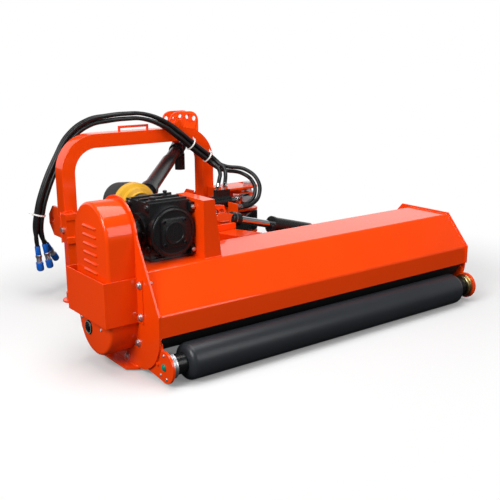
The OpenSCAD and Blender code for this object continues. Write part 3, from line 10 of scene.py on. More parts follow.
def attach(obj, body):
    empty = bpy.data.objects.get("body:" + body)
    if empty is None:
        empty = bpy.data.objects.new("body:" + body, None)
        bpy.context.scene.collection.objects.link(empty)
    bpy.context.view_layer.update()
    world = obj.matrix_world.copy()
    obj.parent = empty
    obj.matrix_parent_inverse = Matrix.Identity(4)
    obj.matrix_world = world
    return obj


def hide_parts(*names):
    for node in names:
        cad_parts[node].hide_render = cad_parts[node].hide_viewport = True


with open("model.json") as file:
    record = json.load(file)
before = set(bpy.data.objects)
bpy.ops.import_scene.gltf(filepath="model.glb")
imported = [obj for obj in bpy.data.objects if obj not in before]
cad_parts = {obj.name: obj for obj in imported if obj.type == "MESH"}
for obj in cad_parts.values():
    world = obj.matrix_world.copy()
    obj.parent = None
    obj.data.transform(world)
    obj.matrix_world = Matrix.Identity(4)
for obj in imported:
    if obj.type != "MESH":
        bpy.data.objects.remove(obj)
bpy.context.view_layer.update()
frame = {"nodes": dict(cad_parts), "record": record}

# Studio: a pale seamless floor, broad soft boxes overhead and at the sides, and an even surround.
# The camera stands behind the mower's left end at about chest height, as in the photograph.
camera_at = Vector((-2.0786, -2.8824, 1.1552))
camera_yaw = radians(36.73)
camera_tip = radians(14.32)
camera_roll = radians(-0.28)
camera_lens_mm = 56.33
floor_half = 40.0
shadow_reach = (0.8, 1.6)
shadow_spread = (0.75, 1.0, 0.0)
shadow_white = 0.15
fill_level = 0.34
wall_rise = (0.35, 0.6)
wall_turn = (-0.1, 0.5)
room_level = 0.15
lamps_aim = Vector((0, -0.1, 0.4))

scene = bpy.context.scene
scene.view_settings.view_transform = "Standard"
camera = bpy.data.objects.new("camera", bpy.data.cameras.new("camera"))
camera.data.lens = camera_lens_mm
camera.data.sensor_width = 36.0
camera.data.clip_end = 200.0
aim = Matrix.Rotation(-camera_yaw, 4, "Z") @ Matrix.Rotation(pi / 2 - camera_tip, 4, "X")
camera.matrix_world = Matrix.Translation(camera_at) @ aim @ Matrix.Rotation(camera_roll, 4, "Z")
scene.collection.objects.link(camera)
scene.camera = camera


def linear(code):
    """Linear colour of an sRGB hex code such as #EE4A12."""
    parts = [int(code[i:i + 2], 16) / 255 for i in (1, 3, 5)]
    return [p / 12.92 if p <= 0.04045 else ((p + 0.055) / 1.055) ** 2.4 for p in parts] + [1.0]


def add(tree, kind, inputs=None, **settings):
    """Add a node; inputs are values or sockets to link, by the socket's name or number."""
    node = tree.nodes.new(kind)
    for name, value in settings.items():
        setattr(node, name, value)
    for name, value in (inputs or {}).items():
        if isinstance(value, bpy.types.NodeSocket):
            tree.links.new(value, node.inputs[name])
        else:
            node.inputs[name].default_value = value
    return node


def studio_view(tree, kept, mirrored, shown):
    """Show one shader to the camera and through glass, one to mirrors, and the kept one to other light."""
    seen_by = add(tree, "ShaderNodeLightPath").outputs
    direct = add(tree, "ShaderNodeMath", {0: seen_by["Is Camera Ray"], 1: seen_by["Is Transmission Ray"]},
                 operation="MAXIMUM")
    unseen = add(tree, "ShaderNodeMixShader", {0: seen_by["Is Glossy Ray"], 1: kept.outputs[0],
                                               2: mirrored.outputs[0]})
    return add(tree, "ShaderNodeMixShader", {0: direct.outputs[0], 1: unseen.outputs[0], 2: shown.outputs[0]})


# Matt floor paper: white with the machine's shadow to the eye and plain white further off. It is grey
# to other light and dim to mirrors, so that the paint's lower faces stay deep.
floor_paper = bpy.data.materials.new("matt_floor_paper")
floor_paper.use_nodes = True
paper = floor_paper.node_tree
paper.nodes.clear()
paper_face = add(paper, "ShaderNodeBsdfDiffuse", {"Color": linear("#D8D8D8")})
paper_grey = add(paper, "ShaderNodeBsdfDiffuse", {"Color": linear("#5E5E5E")})
paper_dim = add(paper, "ShaderNodeBsdfDiffuse", {"Color": linear("#2C2C2C")})
paper_white = add(paper, "ShaderNodeEmission", {"Color": linear("#FFFFFF"), "Strength": 1.0})
paper_spot = add(paper, "ShaderNodeTexCoord").outputs["Object"]
paper_oval = add(paper, "ShaderNodeVectorMath", {0: paper_spot, 1: shadow_spread}, operation="MULTIPLY")
paper_reach = add(paper, "ShaderNodeVectorMath", {0: paper_oval.outputs[0]}, operation="LENGTH")
paper_fade = add(paper, "ShaderNodeMapRange", {
    "Value": paper_reach.outputs["Value"], "From Min": shadow_reach[0], "From Max": shadow_reach[1],
    "To Min": shadow_white, "To Max": 1.0}, interpolation_type="SMOOTHSTEP")
paper_shown = add(paper, "ShaderNodeMixShader", {0: paper_fade.outputs[0], 1: paper_face.outputs[0],
                                                 2: paper_white.outputs[0]})
paper_mix = studio_view(paper, paper_grey, paper_dim, paper_shown)
add(paper, "ShaderNodeOutputMaterial", {"Surface": paper_mix.outputs[0]})

floor_mesh = bpy.data.meshes.new("floor")
floor_mesh.from_pydata([(-floor_half, -floor_half, 0), (floor_half, -floor_half, 0),
                        (floor_half, floor_half, 0), (-floor_half, floor_half, 0)], [], [(0, 1, 2, 3)])
floor_mesh.materials.append(floor_paper)
floor = bpy.data.objects.new("floor", floor_mesh)
scene.collection.objects.link(floor)

surround = bpy.data.worlds.new("surround")
surround.use_nodes = True
sky = surround.node_tree
sky.nodes.clear()
fill = add(sky, "ShaderNodeBackground", {"Color": linear("#FFFFFF"), "Strength": fill_level})
white = add(sky, "ShaderNodeBackground", {"Color": linear("#FFFFFF"), "Strength": 1.0})
# Mirrors see a low white wall on the far side only, and a dim room elsewhere.
sky_spot = add(sky, "ShaderNodeTexCoord").outputs["Object"]
sky_rise = add(sky, "ShaderNodeSeparateXYZ", {0: sky_spot})
wall_top = add(sky, "ShaderNodeMapRange", {
    "Value": sky_rise.outputs["Z"], "From Min": wall_rise[0], "From Max": wall_rise[1],
    "To Min": 1.0, "To Max": room_level})
far_side = add(sky, "ShaderNodeVectorMath", {0: sky_spot, 1: (sin(camera_yaw), cos(camera_yaw), 0)},
               operation="DOT_PRODUCT")
wall_side = add(sky, "ShaderNodeMapRange", {
    "Value": far_side.outputs["Value"], "From Min": wall_turn[0], "From Max": wall_turn[1],
    "To Min": room_level, "To Max": 1.0})
wall = add(sky, "ShaderNodeMath", {0: wall_top.outputs[0], 1: wall_side.outputs[0]}, operation="MULTIPLY")
room = add(sky, "ShaderNodeBackground", {"Color": linear("#FFFFFF"), "Strength": wall.outputs[0]})
sky_mix = studio_view(sky, fill, room, white)
add(sky, "ShaderNodeOutputWorld", {"Surface": sky_mix.outputs[0]})
scene.world = surround

for lamp_name, at, size, watts in (
    ("overhead_box", (-0.2, -0.2, 3.6), 2.6, 100.0),
    ("left_box", (-3.6, -1.2, 2.6), 1.8, 124.0),
    ("rear_box", (1.2, -4.2, 2.2), 2.2, 50.0),
):
    lamp = bpy.data.lights.new(lamp_name, "AREA")
    lamp.energy = watts
    lamp.size = size
    holder = bpy.data.objects.new(lamp_name, lamp)
    holder.location = at
    holder.rotation_euler = (lamps_aim - holder.location).to_track_quat("-Z", "Y").to_euler()
    scene.collection.objects.link(holder)

# Hydraulic hoses: four two-wire rubber hoses in one bunch, over the arch from the tractor's couplers
# to the offset cylinder's ports and to the tab beside it. Each is one cord from fitting to coupler.
MM = 0.001
ROW = Vector((0.0475, -0.635, 0.0))
UP = Vector((0, 0, 1))
FRONT = Vector((0, 1, 0))
same_point = 0.01 * MM
crease = radians(32)
hose_r = 10 * MM
hose_gap = 12 * MM
trunk_mm = [
    (-755, 1282, 335), (-745, 1280, 400), (-720, 1276, 490), (-635, 1270, 665),
    (-565, 1268, 765), (-480, 1240, 825), (-400, 1205, 842), (-310, 1190, 848),
    (-215, 1180, 842), (-130, 1136, 805), (-70, 1104, 755), (0, 1094, 697),
    (86, 1077, 629), (100, 1074, 618), (122, 1064, 598),
]
hose_starts_mm = [
    [(-770, 1270, 252), (-773, 1270, 292)], [(-734, 1270, 258), (-741, 1270, 296)],
    [(-756, 1306, 244), (-759, 1304, 286)], [(-706, 1316, 246), (-734, 1298, 288)],
]
hose_ends_mm = [
    [(130, 1030, 594), (134, 996, 572), (122, 969, 544), (108, 955, 508)],
    [(112, 1026, 580), (102, 988, 552), (82, 966, 530), (68, 955, 506)],
    [(168, 1050, 580), (256, 975, 559), (286, 914, 506), (264, 876, 442),
     (208, 854, 407), (164, 850, 398), (136, 850, 398)],
    [(160, 1058, 560), (256, 1008, 536), (278, 946, 496), (258, 905, 444),
     (210, 886, 409), (164, 884, 398), (136, 884, 398)],
]
trunk_points = [14, 14, 15, 15]
hose_corners = [(1, -1), (-1, -1), (1, 1), (-1, 1)]
sleeve_mm = [(0, 11), (0, 12), (2, 13), (42, 13), (44, 12)]
coupler_mm = [(44, 12), (44, 14), (45, 15), (55, 15), (56, 14), (56, 13)]
coupler_mm += [(58 + 4 * i + step, r) for i in range(5)
               for step, r in ((0, 13), (0.6, 12.3), (2.4, 12.3), (3, 13))]
coupler_mm += [(80, 13), (82, 12)]
cap_mm = [(82, 14), (82, 16), (84, 17), (92, 17), (93, 15.5), (97, 15.5), (98, 17), (110, 17),
          (118, 16), (122, 13), (124, 8)]


def placed(points_mm):
    """Points of the CAD's own drawing, in millimetres, as points of the row frame."""
    return [ROW + MM * Vector(p) for p in points_mm]


def along(points, i):
    return (points[min(i + 1, len(points) - 1)] - points[max(i - 1, 0)]).normalized()


def across(points, i):
    """The two directions across a route at point i: upwards, and sideways."""
    ahead = along(points, i)
    up = ahead.cross(FRONT).normalized()
    return up, up.cross(ahead)


def surface(name, pale, deep, patch_mm, grain_mm, relief, rough, rough_spread=0.0, **shader):
    """Opaque finish: colour drifts between two shades over patch_mm, with a fine relief of grain_mm."""
    material = bpy.data.materials.new(name)
    material.use_nodes = True
    tree = material.node_tree
    tree.nodes.clear()
    spot = add(tree, "ShaderNodeTexCoord").outputs["Object"]
    patch = add(tree, "ShaderNodeTexNoise", {"Vector": spot, "Scale": 1 / (patch_mm * MM), "Detail": 3.0})
    shade = add(tree, "ShaderNodeMix", {0: patch.outputs["Fac"], 6: linear(deep), 7: linear(pale)},
                data_type="RGBA")
    grain = add(tree, "ShaderNodeTexNoise", {"Vector": spot, "Scale": 1 / (grain_mm * MM), "Detail": 2.0})
    bump = add(tree, "ShaderNodeBump", {"Strength": relief, "Distance": MM,
                                        "Height": grain.outputs["Fac"]})
    dull = add(tree, "ShaderNodeMapRange", {"Value": grain.outputs["Fac"], "From Min": 0.3, "From Max": 0.7,
                                            "To Min": rough - rough_spread, "To Max": rough + rough_spread})
    skin = add(tree, "ShaderNodeBsdfPrincipled", {
        "Base Color": shade.outputs[2], "Roughness": dull.outputs[0], "Normal": bump.outputs[0], **shader})
    add(tree, "ShaderNodeOutputMaterial", {"Surface": skin.outputs[0]})
    return material


bodies = frame["record"]["behaviour"]["bodies"]
body_of = {node: body for body, nodes in bodies.items() for node in nodes}


def stand_in(piece, *nodes, slot=None):
    """Put a piece on the body of the CAD nodes it stands for."""
    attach(piece, body_of[nodes[0]])
    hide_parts(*nodes)
    return piece


def show(name, mesh, material, *nodes, slot=None):
    """Make a finished piece of a mesh, in place of the CAD nodes it stands for."""
    mesh.materials.clear()
    mesh.materials.append(material)
    piece = bpy.data.objects.new(name, mesh)
    scene.collection.objects.link(piece)
    return stand_in(piece, *nodes, slot=slot)


def loft(shape, rings, caps=True):
    """Add a skin over closed rings of points, one after the other, to a bmesh."""
    loops = [[shape.verts.new(p) for p in ring] for ring in rings]
    for low, high in zip(loops, loops[1:]):
        for j in range(len(low)):
            shape.faces.new((low[j - 1], low[j], high[j], high[j - 1]))
    if caps:
        shape.faces.new(reversed(loops[0]))
        shape.faces.new(loops[-1])


def lathe(shape, start, ahead, outline_mm, sides, caps=True):
    """Add a turned solid about a line; the outline gives distance ahead and radius, point by point."""
    turn = UP.rotation_difference(ahead).to_matrix()
    steps = [2 * pi * j / sides for j in range(sides)]
    loft(shape, [[start + MM * (turn @ Vector((r * cos(a), r * sin(a), reach))) for a in steps]
                 for reach, r in outline_mm], caps)


def meshed(name, shape):
    """Plain mesh of a bmesh, smooth except where faces meet at more than the crease angle."""
    bmesh.ops.remove_doubles(shape, verts=shape.verts, dist=same_point)
    bmesh.ops.recalc_face_normals(shape, faces=shape.faces)
    mesh = bpy.data.meshes.new(name)
    shape.to_mesh(mesh)
    shape.free()
    mesh.polygons.foreach_set("use_smooth", [True] * len(mesh.polygons))
    mesh.set_sharp_from_angle(angle=crease)
    return mesh


def turned(name, start, ahead, outline_mm, sides=40):
    shape = bmesh.new()
    lathe(shape, start, ahead, outline_mm, sides)
    return meshed(name, shape)


# Oil-resistant rubber cover, wrapped and cured, so it has a faint weave and a soft sheen.
# The weave is drawn at 3 mm, coarser than the real 1 mm, so that it shows.
hose_rubber = surface("hose_cover_rubber", "#18191B", "#101112", 60, 3, 0.2, 0.34, 0.05,
                      **{"Specular IOR Level": 0.35})
# Nickel plate on the turned steel of the quick couplers: pale, with a soft broken shine.
nickel = surface("turned_nickel_plate", "#E6E7EA", "#D6D8DC", 10, 1, 0.1, 0.34, 0.05, Metallic=1.0)
# Soft gloss PVC of the caps, moulded, with a slight flow mottling.
blue_vinyl = surface("blue_moulded_vinyl", "#1368D0", "#0D5BBE", 20, 2, 0.08, 0.3, 0.04)

trunk = placed(trunk_mm)
for k, corner in enumerate(hose_corners):
    bunch = []
    for i, point in enumerate(trunk[:trunk_points[k]]):
        up, side = across(trunk, i)
        bunch.append(point + hose_gap * (corner[0] * up + corner[1] * side))
    route = placed(hose_starts_mm[k]) + bunch + placed(hose_ends_mm[k])
    route.reverse()
    line = bpy.data.curves.new(f"hose_{k + 1}_line", "CURVE")
    line.dimensions = "3D"
    line.bevel_depth = hose_r
    line.bevel_resolution = 5
    line.resolution_u = 10
    line.use_fill_caps = True
    line.materials.append(hose_rubber)
    spline = line.splines.new("BEZIER")
    spline.bezier_points.add(len(route) - 1)
    for knot, point in zip(spline.bezier_points, route):
        knot.co = point
        knot.handle_left_type = knot.handle_right_type = "AUTO"
    hose = bpy.data.objects.new(f"rubber_hose_{k + 1}", line)
    scene.collection.objects.link(hose)
    stand_in(hose, f"hose_{k + 1}")
    bpy.context.view_layer.update()
    outward = (route[-1] - route[-2]).normalized()
    ends = [show(f"{label}_{k + 1}", turned(label, route[-1], outward, outline), finish, node)
            for label, outline, finish, node in (("coupler", coupler_mm, nickel, "hose_couplers"),
                                                 ("coupler_sleeve", sleeve_mm, blue_vinyl, "dust_caps"),
                                                 ("dust_cap", cap_mm, blue_vinyl, "dust_caps"))]

# Hose ties: white nylon cable ties, moulded in one piece, each with its lock and a cut tail. They are
# pulled tight round the bunch above the couplers and on its way down from the arch.
tie_points = (1, 11, 12)
tie_band_mm = [(-3.5, 28.0), (-3.5, 29.6), (-3.1, 29.9), (3.1, 29.9), (3.5, 29.6), (3.5, 28.0), (-3.5, 28.0)]
tie_tail_mm = [(0, 31), (9, 33), (18, 38), (25, 45)]
tie_lock_mm = (29, 30, 35)
lock_half_w, lock_half_l = 4.5, 5
tail_half_t, tail_half_w = 0.7, 2.4
square = ((-1, -1), (1, -1), (1, 1), (-1, 1))
# Natural nylon, moulded, slightly milky and half glossy.
white_nylon = surface("white_tie_nylon", "#F4F4F2", "#E8E8E5", 20, 2, 0.05, 0.4, 0.04)
shape = bmesh.new()
for i in tie_points:
    ahead = along(trunk, i)
    up, side = across(trunk, i)
    lathe(shape, trunk[i], ahead, tie_band_mm, 48, caps=False)
    loft(shape, [[trunk[i] + MM * (reach * up + lock_half_w * (s * side) + lock_half_l * (t * ahead))
                  for s, t in square] for reach in tie_lock_mm])
    loft(shape, [[trunk[i] + MM * (reach * side + (rise + tail_half_t * s) * up + tail_half_w * t * ahead)
                  for s, t in square] for reach, rise in tie_tail_mm])
show("cable_ties", meshed("cable_ties", shape), white_nylon, "hose_ties")

# Deck: one sheet of 4 mm steel bent along its length and welded between the end plates. The folds
# have a small radius that catches the light as a thin bright line.
flat_turn = radians(0.5)
fold_turn = (20, 75)
edge_turn = (28, 181)
skin_crease = radians(40)


def dressed(node, material, edge_mm, fold_mm=0.0):
    """Copy of a CAD node with its facets joined, folds rounded widely and sharp edges narrowly."""
    mesh = frame["nodes"][node].data.copy()
    mesh.name = f"{node}_skin"
    shape = bmesh.new()
    shape.from_mesh(mesh)
    bmesh.ops.remove_doubles(shape, verts=shape.verts, dist=same_point)
    bmesh.ops.dissolve_limit(shape, angle_limit=flat_turn, verts=shape.verts, edges=shape.edges)
    sharp_from = fold_turn[1] if fold_mm else edge_turn[0]
    for size, steps, least, most in ((fold_mm, 4, *fold_turn), (edge_mm, 2, sharp_from, edge_turn[1])):
        bent = [e for e in shape.edges if len(e.link_faces) == 2
                and least < abs(e.calc_face_angle() * 180 / pi) < most]
        if size and bent:
            bmesh.ops.bevel(shape, geom=bent, offset=size * MM, offset_type="OFFSET", segments=steps,
                            profile=0.5, affect="EDGES", clamp_overlap=True)
    shape.to_mesh(mesh)
    shape.free()
    mesh.polygons.foreach_set("use_smooth", [True] * len(mesh.polygons))
    mesh.set_sharp_from_angle(angle=skin_crease)
    piece = show(mesh.name, mesh, material, node)
    piece.modifiers.new("flat_faces", "WEIGHTED_NORMAL").keep_sharp = True


# Orange-red stoving enamel sprayed on sheet steel: a thin gloss over a slightly rippled orange-peel skin.
# The ripple is drawn at 9 mm, coarser than the real 3 mm, so that it shows.
enamel = surface("orange_stoving_enamel", "#F84806", "#F04104", 240, 9, 0.02, 0.36, 0.03,
                 **{"Coat Weight": 0.8, "Coat Roughness": 0.08, "Specular IOR Level": 0.03})
dressed("deck_shell", enamel, 1.2, fold_mm=7)

# Rear skirt: a strip of black rubber fixed inside the deck's lip along its whole width. It fills the gap
# above the roller with dark, as painted shade for the deep shadow under the deck there.
# Black moulded rubber, dull, with a fine grain.
moulded_rubber = surface("black_moulded_rubber", "#1B1B1C", "#141415", 40, 3, 0.2, 0.6, 0.05)
dressed("rear_skirt", moulded_rubber, 0.8)

# End plates: 8 mm plates cut to shape, each with a skid welded under it, and the plates that hold the
# roller's bearings bolted inside. A small lug on each bearing plate keeps its ring from turning.
RIGHT = Vector((1, 0, 0))
plate_in, plate_out = 830, 838
bracket_in = 820
axle_z = 70
sunk = 1
dressed("left_end_plate", enamel, 1.5)
dressed("right_end_plate", enamel, 1.5)
dressed("roller_brackets", enamel, 1.5)
for side in (-1, 1):
    lug = turned(f"ring_lug_{side + 2}", placed([(side * (plate_in - sunk), 44, axle_z)])[0], side * RIGHT,
                 [(0, 8), (4, 8), (6, 7), (7, 4)], 24)
    show(lug.name, lug, enamel, "roller_brackets")

# Roller: a rolled steel tube with dished ends welded in, on black necks that run in the bearing hubs.
# It carries the rear of the deck and sets the cutting height.
roller_x, roller_l, roller_r = -750, 1490, 70
rim_round, dish_r = 25, 36
neck_x, neck_r, neck_edge = 794, 38, 3
shaft_r, shaft_reach = 15, 25
roller_end = [(rim_round - rim_round * cos(a), roller_r - rim_round + rim_round * sin(a))
              for a in (pi * i / 16 for i in range(9))]
roller_mm = [(0, dish_r), *roller_end]
roller_mm += [(roller_l - d, r) for d, r in reversed(roller_mm)]
# Charcoal enamel, baked on the turned tube, nearly smooth.
roller_enamel = surface("charcoal_roller_enamel", "#2E3136", "#24272B", 260, 20, 0.02, 0.36, 0.03,
                        **{"Specular IOR Level": 0.35})
show("roller_drum", turned("roller_drum", placed([(roller_x, 0, axle_z)])[0], RIGHT, roller_mm, 96),
     roller_enamel, "roller")
# Black satin enamel sprayed on machined steel: dark, with soft broad highlights.
black_enamel = surface("black_satin_enamel", "#17181A", "#111213", 120, 8, 0.05, 0.28, 0.04,
                       **{"Specular IOR Level": 0.4})
for label, x, toward in (("left", roller_x, -1), ("right", roller_x + roller_l, 1)):
    reach = neck_x - abs(x)
    neck = [(0, neck_r), (reach - neck_edge, neck_r), (reach, dish_r), (reach, shaft_r),
            (reach + shaft_reach, shaft_r)]
    show(f"{label}_roller_neck",
         turned("neck", placed([(x, 0, axle_z)])[0], toward * RIGHT, neck, 48), black_enamel, "roller")

# Roller bearings: turned hubs screwed to the bearing plates, with a lip and a groove for the seal, and
# a plastic cap on the outside over the end of the shaft.
hub_mm = [(0, 16), (0, 51), (1, 52), (7, 52), (8, 51), (8, 47.5), (13, 47), (13.5, 45), (15.5, 45),
          (16, 47), (23, 47), (24, 45.5), (24, 16)]
bearing_cap_mm = [(0, 13), (3, 13), (4, 12), (4, 9), (7, 8.5), (8, 6.5)]
# Bright zinc plate on turned and cold-headed steel, with the faint cloud of the bath.
zinc_plate = surface("bright_zinc_plate", "#E8EAED", "#D2D5D9", 12, 1.5, 0.1, 0.42, 0.08, Metallic=1.0)
# Yellow-passivated zinc of the far bearing, a little warmer.
yellow_zinc = surface("yellow_passivated_zinc", "#D8C590", "#B8A878", 14, 1.5, 0.1, 0.3, 0.08, Metallic=1.0)
# Green polyethylene of the caps, gloss from the mould.
green_plastic = surface("green_cap_plastic", "#0F8F74", "#0C7F67", 20, 2, 0.05, 0.3, 0.04)
for label, side, finish in (("left", -1, zinc_plate), ("right", 1, yellow_zinc)):
    inner, outer = placed([(side * bracket_in, 0, axle_z), (side * plate_in, 0, axle_z)])
    show(f"{label}_bearing_hub", turned("hub", inner, -side * RIGHT, hub_mm, 64), finish, "roller_hubs")
    show(f"{label}_bearing_cap", turned("cap", outer, side * RIGHT, bearing_cap_mm, 40), green_plastic,
         "roller_caps")

# Belt cover: a deep-drawn box of 3 mm sheet over the belts, with a rolled front rim and six pressed
# louvres, enamelled as the deck is and screwed to the end plate.
REAR = Vector((0, -1, 0))
drive_y, drive_z = 300, 500
rotor_z = 187
cover_x, cover_r, cover_t = -947, 133, 3
rim_roll = 12
cover_rings = [(cover_x + cover_t, 122), (-938, 129), (-934, cover_r - cover_t),
               (-plate_out, cover_r - cover_t), (-plate_out, cover_r), (cover_x + rim_roll, cover_r)]
cover_rings += [(cover_x + rim_roll - rim_roll * sin(a), cover_r - rim_roll + rim_roll * cos(a))
                for a in (pi * i / 12 for i in range(1, 7))]
half_turn = [pi * i / 40 for i in range(41)]
shape = bmesh.new()
loft(shape, [placed([(x, drive_y + r * cos(a), drive_z + r * sin(a)) for a in half_turn]
                    + [(x, drive_y - r * cos(a), rotor_z - r * sin(a)) for a in half_turn])
             for x, r in cover_rings])
show("belt_cover_box", meshed("belt_cover_box", shape), enamel, "belt_cover")


def grown(name, seeds, tree, values):
    """Run a Geometry Nodes tree on a seed mesh and give back the plain mesh that it makes."""
    host = bpy.data.objects.new(name, seeds)
    scene.collection.objects.link(host)
    run = host.modifiers.new("grow", "NODES")
    run.node_group = tree
    for socket in tree.interface.items_tree:
        if socket.in_out == "INPUT" and socket.name in values:
            run[socket.identifier] = values[socket.name]
    bpy.context.view_layer.update()
    mesh = bpy.data.meshes.new_from_object(host.evaluated_get(bpy.context.evaluated_depsgraph_get()))
    mesh.name = name
    bpy.data.objects.remove(host)
    return mesh


def new_tree(name, inputs):
    """Empty Geometry Nodes tree with named inputs and one geometry output."""
    tree = bpy.data.node_groups.new(name, "GeometryNodeTree")
    for label, kind in inputs:
        tree.interface.new_socket(label, in_out="INPUT", socket_type=kind)
    tree.interface.new_socket("Parts", in_out="OUTPUT", socket_type="NodeSocketGeometry")
    return tree


# Tree that sets a copy of one object, turned alike, on every point of the seed mesh.
like_parts = new_tree("like_parts", (("Points", "NodeSocketGeometry"), ("Unit", "NodeSocketObject"),
                                     ("Turn", "NodeSocketVector"), ("Finish", "NodeSocketMaterial")))
given = add(like_parts, "NodeGroupInput").outputs
dots = add(like_parts, "GeometryNodeMeshToPoints", {"Mesh": given["Points"]})
unit = add(like_parts, "GeometryNodeObjectInfo", {"Object": given["Unit"]})
copies = add(like_parts, "GeometryNodeInstanceOnPoints", {
    "Points": dots.outputs[0], "Instance": unit.outputs["Geometry"], "Rotation": given["Turn"]})
solid = add(like_parts, "GeometryNodeRealizeInstances", {"Geometry": copies.outputs[0]})
coloured = add(like_parts, "GeometryNodeSetMaterial", {"Geometry": solid.outputs[0],
                                                       "Material": given["Finish"]})
add(like_parts, "NodeGroupOutput", {0: coloured.outputs[0]})


def set_out(name, unit_shape, spots_mm, turn, material, node, slot=None):
    """Set like parts out on points; the unit is drawn about the origin with its top at +Z."""
    unit_piece = bpy.data.objects.new(f"{name}_unit", meshed(f"{name}_unit", unit_shape))
    scene.collection.objects.link(unit_piece)
    seeds = bpy.data.meshes.new(f"{name}_seeds")
    seeds.from_pydata(placed(spots_mm), [], [])
    mesh = grown(name, seeds, like_parts, {"Unit": unit_piece, "Turn": turn, "Finish": material})
    bpy.data.objects.remove(unit_piece)
    show(name, mesh, material, node, slot=slot)


louvre_half = 52.5
louvre_r = 6
louvre_top, louvre_pitch = 542, 33
shape = bmesh.new()
louvre_end = [(louvre_r - louvre_r * cos(a), louvre_r * sin(a)) for a in (pi * i / 12 for i in range(1, 7))]
lathe(shape, louvre_half * MM * REAR, FRONT,
      louvre_end + [(2 * louvre_half - d, r) for d, r in reversed(louvre_end)], 24)
set_out("louvres", shape, [(cover_x, drive_y, louvre_top - louvre_pitch * i) for i in range(6)], (0, 0, 0),
        enamel, "belt_cover")

# Inspection plug: a moulded black disc with a raised middle, pushed into the hole of the belt cover.
# A grey-green rubber ring seals it.
LEFT = Vector((-1, 0, 0))
plug_at = placed([(cover_x + cover_t, 349, 148)])[0]
# Black polyethylene, moulded, with a smooth satin skin.
guard_plastic = surface("black_guard_polyethylene", "#15161A", "#101113", 50, 3, 0.06, 0.26, 0.04,
                        **{"Specular IOR Level": 0.4})
show("inspection_plug", turned("inspection_plug", plug_at, LEFT, [
    (0, 28), (6, 28), (8, 26), (8, 22), (7, 21), (7, 15), (8, 14), (12, 14), (13, 12)], 48),
    guard_plastic, "cover_plug")
# Grey-green seal rubber, moulded and matt.
ring_rubber = surface("grey_green_seal_rubber", "#7C8A80", "#6A776E", 20, 2, 0.05, 0.5, 0.04)
shape = bmesh.new()
lathe(shape, plug_at, LEFT, [(7, 21.5), (8.6, 22), (9, 23.5), (8.6, 25), (7, 25.5), (7, 21.5)], 48,
      caps=False)
show("plug_ring", meshed("plug_ring", shape), ring_rubber, "cover_plug")

# Belt guard: one bent band of 4 mm sheet round the lower half of the belt cover, enamelled as the deck
# is, with flanges that are bolted to the left end plate.
dressed("belt_guard", enamel, 1.0)

# Deck bolts: zinc-plated cap nuts on washers outside, plain nuts inside, and round-head screws that
# hold the bearing plates and the belt cover. Set out by Geometry Nodes on the drilled holes.
plate_spots = [(164, 116), (253, 38)]
guard_spots = [(134, 222), (134, 342)]
guard_x = -842
ring_r = 44


def small_part(*turnings):
    """Small part about the origin with its top at +Z, of outlines in millimetres and numbers of sides."""
    shape = bmesh.new()
    for outline_mm, sides in turnings:
        lathe(shape, Vector(), UP, outline_mm, sides)
    return shape


cap_nut = (([(-0.5, 9), (0, 14.6), (0.4, 15), (2.6, 15), (3, 14.6), (3.2, 9)], 32),
           ([(3, 11.6), (3.4, 12.4), (7.6, 12.4), (8.4, 11.2)], 6),
           ([(8, 10.6), (9.4, 10.2), (10.8, 8.6), (11.7, 5.6), (12, 2)], 24))
plain_nut = (([(0, 12), (0.8, 13), (7.6, 13), (8.4, 12)], 6), ([(0, 8), (8.4, 8), (9, 7)], 24))
round_screw = (([(0, 6), (1.6, 5.9), (3, 5), (3.8, 3.4), (3.8, 2.6), (2.4, 2.4)], 24),)
ring_spots = [(ring_r * cos(radians(a)), axle_z + ring_r * sin(radians(a))) for a in (90, 250, 305)]
for label, side in (("left", -1), ("right", 1)):
    out = (0, side * pi / 2, 0)
    back = (0, -side * pi / 2, 0)
    more = [(guard_x, y, z) for y, z in guard_spots] if side < 0 else []
    set_out(f"{label}_cap_nuts", small_part(*cap_nut),
            [(side * plate_out, y, z) for y, z in plate_spots] + more, out, zinc_plate, "deck_bolts")
    inside = [(side * bracket_in, *plate_spots[0]), (side * plate_in, *plate_spots[1])]
    more = [(-plate_in, y, z) for y, z in guard_spots] if side < 0 else []
    set_out(f"{label}_inner_nuts", small_part(*plain_nut), inside + more, back, zinc_plate, "deck_bolts")
    more = [(cover_x, 405, 175), (cover_x, 245, 165)] if side < 0 else []
    set_out(f"{label}_round_screws", small_part(*round_screw),
            [(side * plate_in, y, z) for y, z in ring_spots] + more, out, zinc_plate, "deck_bolts")
set_out("slope_bolt", small_part(*round_screw), [(-813, 103, 354.4)], (radians(49), 0, 0), zinc_plate,
        "deck_bolts")

# Weld seams: painted fillet welds along the joints of the deck, the skids, the tower and the stand's
# sleeve. Geometry Nodes sets overlapping beads along each line, with a fixed seed.
bead_r = 3.5
bead_pitch = 0.8 * bead_r
bead_spread = (0.85, 1.1)
bead_seed = 7
weld_run = new_tree("weld_run", (("Lines", "NodeSocketGeometry"), ("Pitch", "NodeSocketFloat"),
                                 ("Radius", "NodeSocketFloat"), ("Seed", "NodeSocketInt"),
                                 ("Finish", "NodeSocketMaterial")))
given = add(weld_run, "NodeGroupInput").outputs
paths = add(weld_run, "GeometryNodeMeshToCurve", {"Mesh": given["Lines"]})
dots = add(weld_run, "GeometryNodeCurveToPoints", {"Curve": paths.outputs[0], "Length": given["Pitch"]},
           mode="LENGTH")
bead = add(weld_run, "GeometryNodeMeshIcoSphere", {"Radius": given["Radius"], "Subdivisions": 2})
uneven = add(weld_run, "FunctionNodeRandomValue", {2: bead_spread[0], 3: bead_spread[1],
                                                   "Seed": given["Seed"]}, data_type="FLOAT")
copies = add(weld_run, "GeometryNodeInstanceOnPoints", {
    "Points": dots.outputs[0], "Instance": bead.outputs["Mesh"], "Scale": uneven.outputs[1]})
solid = add(weld_run, "GeometryNodeRealizeInstances", {"Geometry": copies.outputs[0]})
